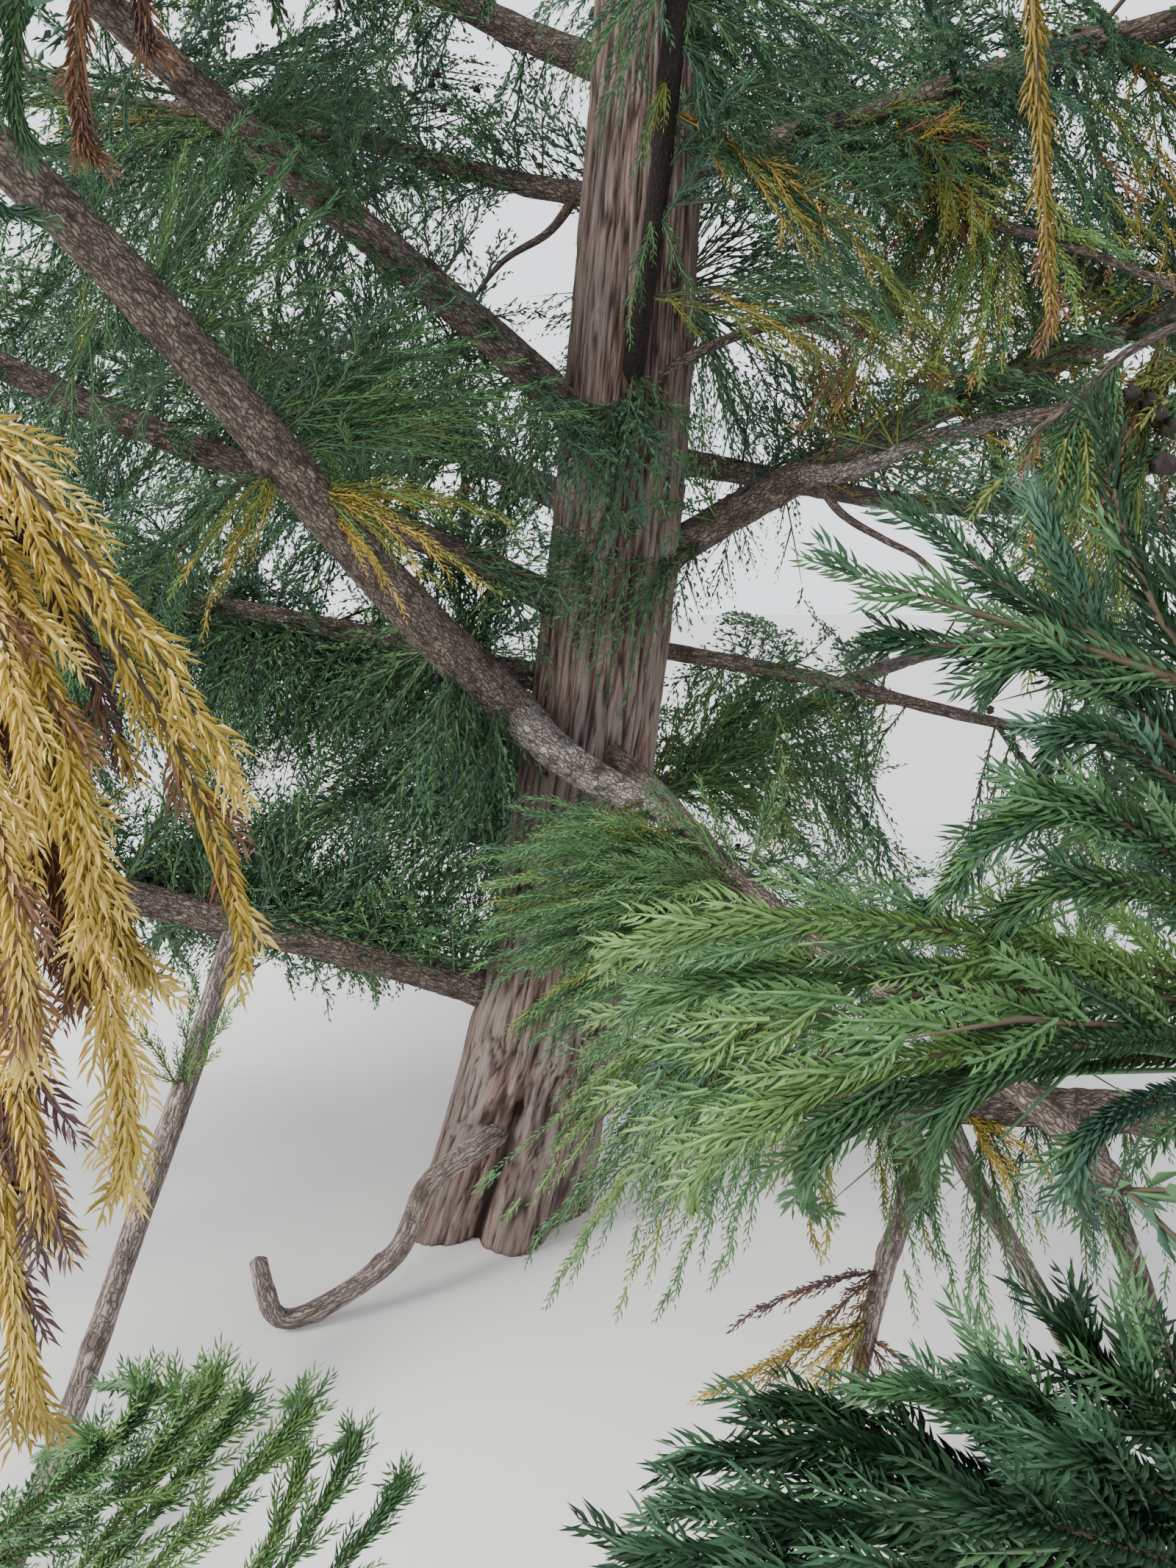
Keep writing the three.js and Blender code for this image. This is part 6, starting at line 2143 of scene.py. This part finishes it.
class CEDAR_OT_boughs(bpy.types.Operator):
    """Build every bough's bark, on to the end of its stem, in place of its solid"""

    bl_idname = "cedar.boughs"
    bl_label = "Boughs"

    def execute(self, context):
        settings = context.scene.cedar_bark
        common = bough_material("bough_plates", settings.bough_light, settings.bough_dark,
                                settings.bough_crack_and_shade)
        # Painted shade: the overhead bough gets a darker copy of the bough bark.
        shaded = bough_material("bough_shaded", settings.overhead_painted_shade_light, settings.overhead_painted_shade_dark,
                                settings.bough_crack_and_shade)
        bough_material("bough_weathered", settings.weathered_light, settings.weathered_dark,
                       settings.bough_crack_and_shade)
        for limb in all_limbs():
            bark = common
            if limb.name == "overhead":
                bark = shaded
                limb = Limb(limb.name, limb.course, limb.radius * OVERHEAD_SLIMNESS, bare=limb.bare)
            depth = view_places(limb.point(limb.length * CLOSE_TEST_SHARE)[None])[0, 2]
            close = depth < CLOSE_DEPTH and limb.bare > LEAST_BARE
            faces = CLOSE_LIMB if close else FAR_LIMB
            bough = build_limb(f"{limb.name}_bark", limb, limb.stem_end, *faces,
                               settings.plate_depth)
            nodes = [f"{limb.name}_bough"] if limb.bare > 0 else []
            finish_piece(bough, [bark], nodes)
        return {"FINISHED"}


class CEDAR_OT_dead_wood(bpy.types.Operator):
    """Build the hanging dead limb and the crooked stub in place of their solids"""

    bl_idname = "cedar.dead_wood"
    bl_label = "Dead wood"

    def execute(self, context):
        settings = context.scene.cedar_bark
        bark = bough_material("dead_fibres", settings.dead_light, settings.dead_dark,
                              settings.dead_crack_and_shade, SPLIT_SCALE)
        dead = hanging_limb()
        piece = build_limb("hanging_dead_bark", dead, dead.length, *HANGING_DEAD, DEAD_RELIEF)
        finish_piece(piece, [bark], ["hanging_dead_limb"])
        course = smooth_course([*STUB_POINTS, STUB_END], STUB_STEPS)
        stub = Limb("crooked_stub", course, STUB_RADIUS, STUB_RADIUS * STUB_TIP_SHARE)
        piece = build_limb("crooked_stub_bark", stub, stub.length, *CROOKED_STUB, STUB_RELIEF)
        finish_piece(piece, [bark], ["crooked_stub", "crooked_stub_end"])
        return {"FINISHED"}


class CEDAR_OT_side_branches(bpy.types.Operator):
    """Build the side branches that grow on from the main limbs"""

    bl_idname = "cedar.side_branches"
    bl_label = "Side branches"

    def execute(self, context):
        depth = context.scene.cedar_bark.plate_depth * SIDE_RELIEF_SHARE
        for name, (branch, bark) in side_branches().items():
            piece = build_limb(f"{name}_bark", branch, branch.length, *SIDE_BRANCH, depth)
            finish_piece(piece, [bpy.data.materials[bark]], [])
        return {"FINISHED"}


class CEDAR_OT_twigs(bpy.types.Operator):
    """Build the woody twigs of the crown"""

    bl_idname = "cedar.twigs"
    bl_label = "Twigs"

    def execute(self, context):
        colour = context.scene.cedar_foliage.twig
        material = plain_material("twig_bark", colour, 0.8)
        corners, triangles = twig_arrays(grow_crown().twigs)
        twigs = mesh_object("twigs", corners, triangles, [material], smooth=True)
        finish_piece(twigs, [], [])
        return {"FINISHED"}


class CEDAR_OT_cones(bpy.types.Operator):
    """Build the small cones at the tips of some sprays"""

    bl_idname = "cedar.cones"
    bl_label = "Cones"

    def execute(self, context):
        material = plain_material("cone_scales", context.scene.cedar_foliage.cone, 0.7)
        cones = mesh_object("cones", *cone_arrays(grow_crown().cones), [material])
        finish_piece(cones, [], [])
        return {"FINISHED"}


class CEDAR_OT_needles(bpy.types.Operator):
    """Build the needles on their cords, joined into a few pieces in place of the foliage masses"""

    bl_idname = "cedar.needles"
    bl_label = "Needles"

    def execute(self, context):
        settings = context.scene.cedar_foliage
        materials = [plain_material(f"needles_{name}", getattr(settings, name), settings.roughness)
                     for name in COLOUR_NAMES]
        rows = grow_crown().cords
        cords = {key: join_rows(rows, key) for key in rows[0]}
        names = [limb.name for limb in all_limbs()]
        for grade_number, grade in enumerate(GRADE_NAMES):
            chosen = np.flatnonzero(cords["grade"] == grade_number)
            chosen = chosen[np.argsort(cords["mass"][chosen], kind="stable")]
            some = {key: values[chosen] for key, values in cords.items()}
            for number, part in enumerate(split_cords(some, GRADES[grade]), start=1):
                piece = needle_piece(f"needles_{grade}_{number}", part, GRADES[grade], materials,
                                     grade in PLAIN_CORES)
                nodes = [f"{names[mass]}_foliage" for mass in np.unique(part["mass"])]
                finish_piece(piece, [], nodes)
        return {"FINISHED"}


def split_cords(cords, size):
    """The cords in runs that each make a piece under the triangle limit."""
    triangles = needle_counts(cords["run"], size) * 2 + CORE_TRIANGLES
    part = np.cumsum(triangles) // PIECE_TRIANGLES
    return [{key: values[part == number] for key, values in cords.items()}
            for number in range(part.max() + 1)] if len(part) else []


def needle_piece(name, cords, size, materials, plain):
    needles = needle_arrays(cords, size)
    cores = core_arrays(cords, size, plain)
    corners = np.concatenate([needles[0], cores[0]])
    triangles = np.concatenate([needles[1], cores[1] + len(needles[0])])
    return mesh_object(name, corners, triangles, materials, np.concatenate([needles[2], cores[2]]))


class CEDAR_OT_stage(bpy.types.Operator):
    """Build the plain floor, the soft lights and the camera"""

    bl_idname = "cedar.stage"
    bl_label = "Stage"

    def execute(self, context):
        settings = context.scene.cedar_stage
        add_floor(settings)
        add_sky(context.scene, settings.sky_strength)
        add_soft_light(settings.key_power)
        add_camera(context.scene)
        return {"FINISHED"}


def add_floor(settings):
    bm = bmesh.new()
    bmesh.ops.create_grid(bm, x_segments=4, y_segments=4, size=FLOOR_HALF_SIZE)
    mesh = bpy.data.meshes.new("floor")
    bm.to_mesh(mesh)
    bm.free()
    floor = link_object("floor", mesh)
    floor.data.materials.append(plain_material("floor", settings.floor_colour, 0.9))


def add_sky(scene, strength):
    world = bpy.data.worlds.new("sky")
    world.use_nodes = True
    background = world.node_tree.nodes["Background"]
    background.inputs["Color"].default_value = SKY_COLOUR
    background.inputs["Strength"].default_value = strength
    scene.world = world


def add_soft_light(power):
    light = bpy.data.lights.new("key_light", "AREA")
    light.shape = "DISK"
    light.size = KEY_LIGHT_SIZE
    light.energy = power
    light.color = KEY_LIGHT_COLOUR
    lamp = link_object("key_light", light)
    lamp.location = KEY_LIGHT_PLACE
    aim = Vector(KEY_LIGHT_AIM) - Vector(KEY_LIGHT_PLACE)
    lamp.rotation_euler = aim.to_track_quat("-Z", "Y").to_euler()


def add_camera(scene):
    camera = bpy.data.cameras.new("camera")
    camera.sensor_width = SENSOR_LONG_SIDE
    camera.lens = SENSOR_LONG_SIDE * FOCAL_PIXELS / FRAME_SIZE[1]
    camera.clip_start = CAMERA_NEAR
    holder = link_object("camera", camera)
    holder.location = EYE
    holder.rotation_euler = (math.radians(90 - LOOK_DOWN), 0, 0)
    scene.camera = holder


class CEDAR_PT_panel(bpy.types.Panel):
    bl_idname = "CEDAR_PT_panel"
    bl_label = "Cedar"
    bl_space_type = "VIEW_3D"
    bl_region_type = "UI"
    bl_category = "Cedar"

    def draw(self, context):
        for operator in OPERATORS:
            self.layout.operator(operator.bl_idname)


OPERATORS = (CEDAR_OT_stage, CEDAR_OT_trunk, CEDAR_OT_boughs, CEDAR_OT_dead_wood,
             CEDAR_OT_side_branches, CEDAR_OT_twigs, CEDAR_OT_cones, CEDAR_OT_needles)
SETTINGS = (CEDAR_PG_bark, CEDAR_PG_foliage, CEDAR_PG_stage)


def register():
    for entry in (*SETTINGS, *OPERATORS, CEDAR_PT_panel):
        bpy.utils.register_class(entry)
    bpy.types.Scene.cedar_bark = PointerProperty(type=CEDAR_PG_bark)
    bpy.types.Scene.cedar_foliage = PointerProperty(type=CEDAR_PG_foliage)
    bpy.types.Scene.cedar_stage = PointerProperty(type=CEDAR_PG_stage)


def unregister():
    del bpy.types.Scene.cedar_stage
    del bpy.types.Scene.cedar_foliage
    del bpy.types.Scene.cedar_bark
    for entry in reversed((*SETTINGS, *OPERATORS, CEDAR_PT_panel)):
        bpy.utils.unregister_class(entry)


def write_sizes():
    """Brings the view layer up to date."""
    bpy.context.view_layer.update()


def main():
    register()
    for operator in OPERATORS:
        group, name = operator.bl_idname.split(".")
        getattr(getattr(bpy.ops, group), name)()
    write_sizes()


if __name__ == "__main__":
    main()
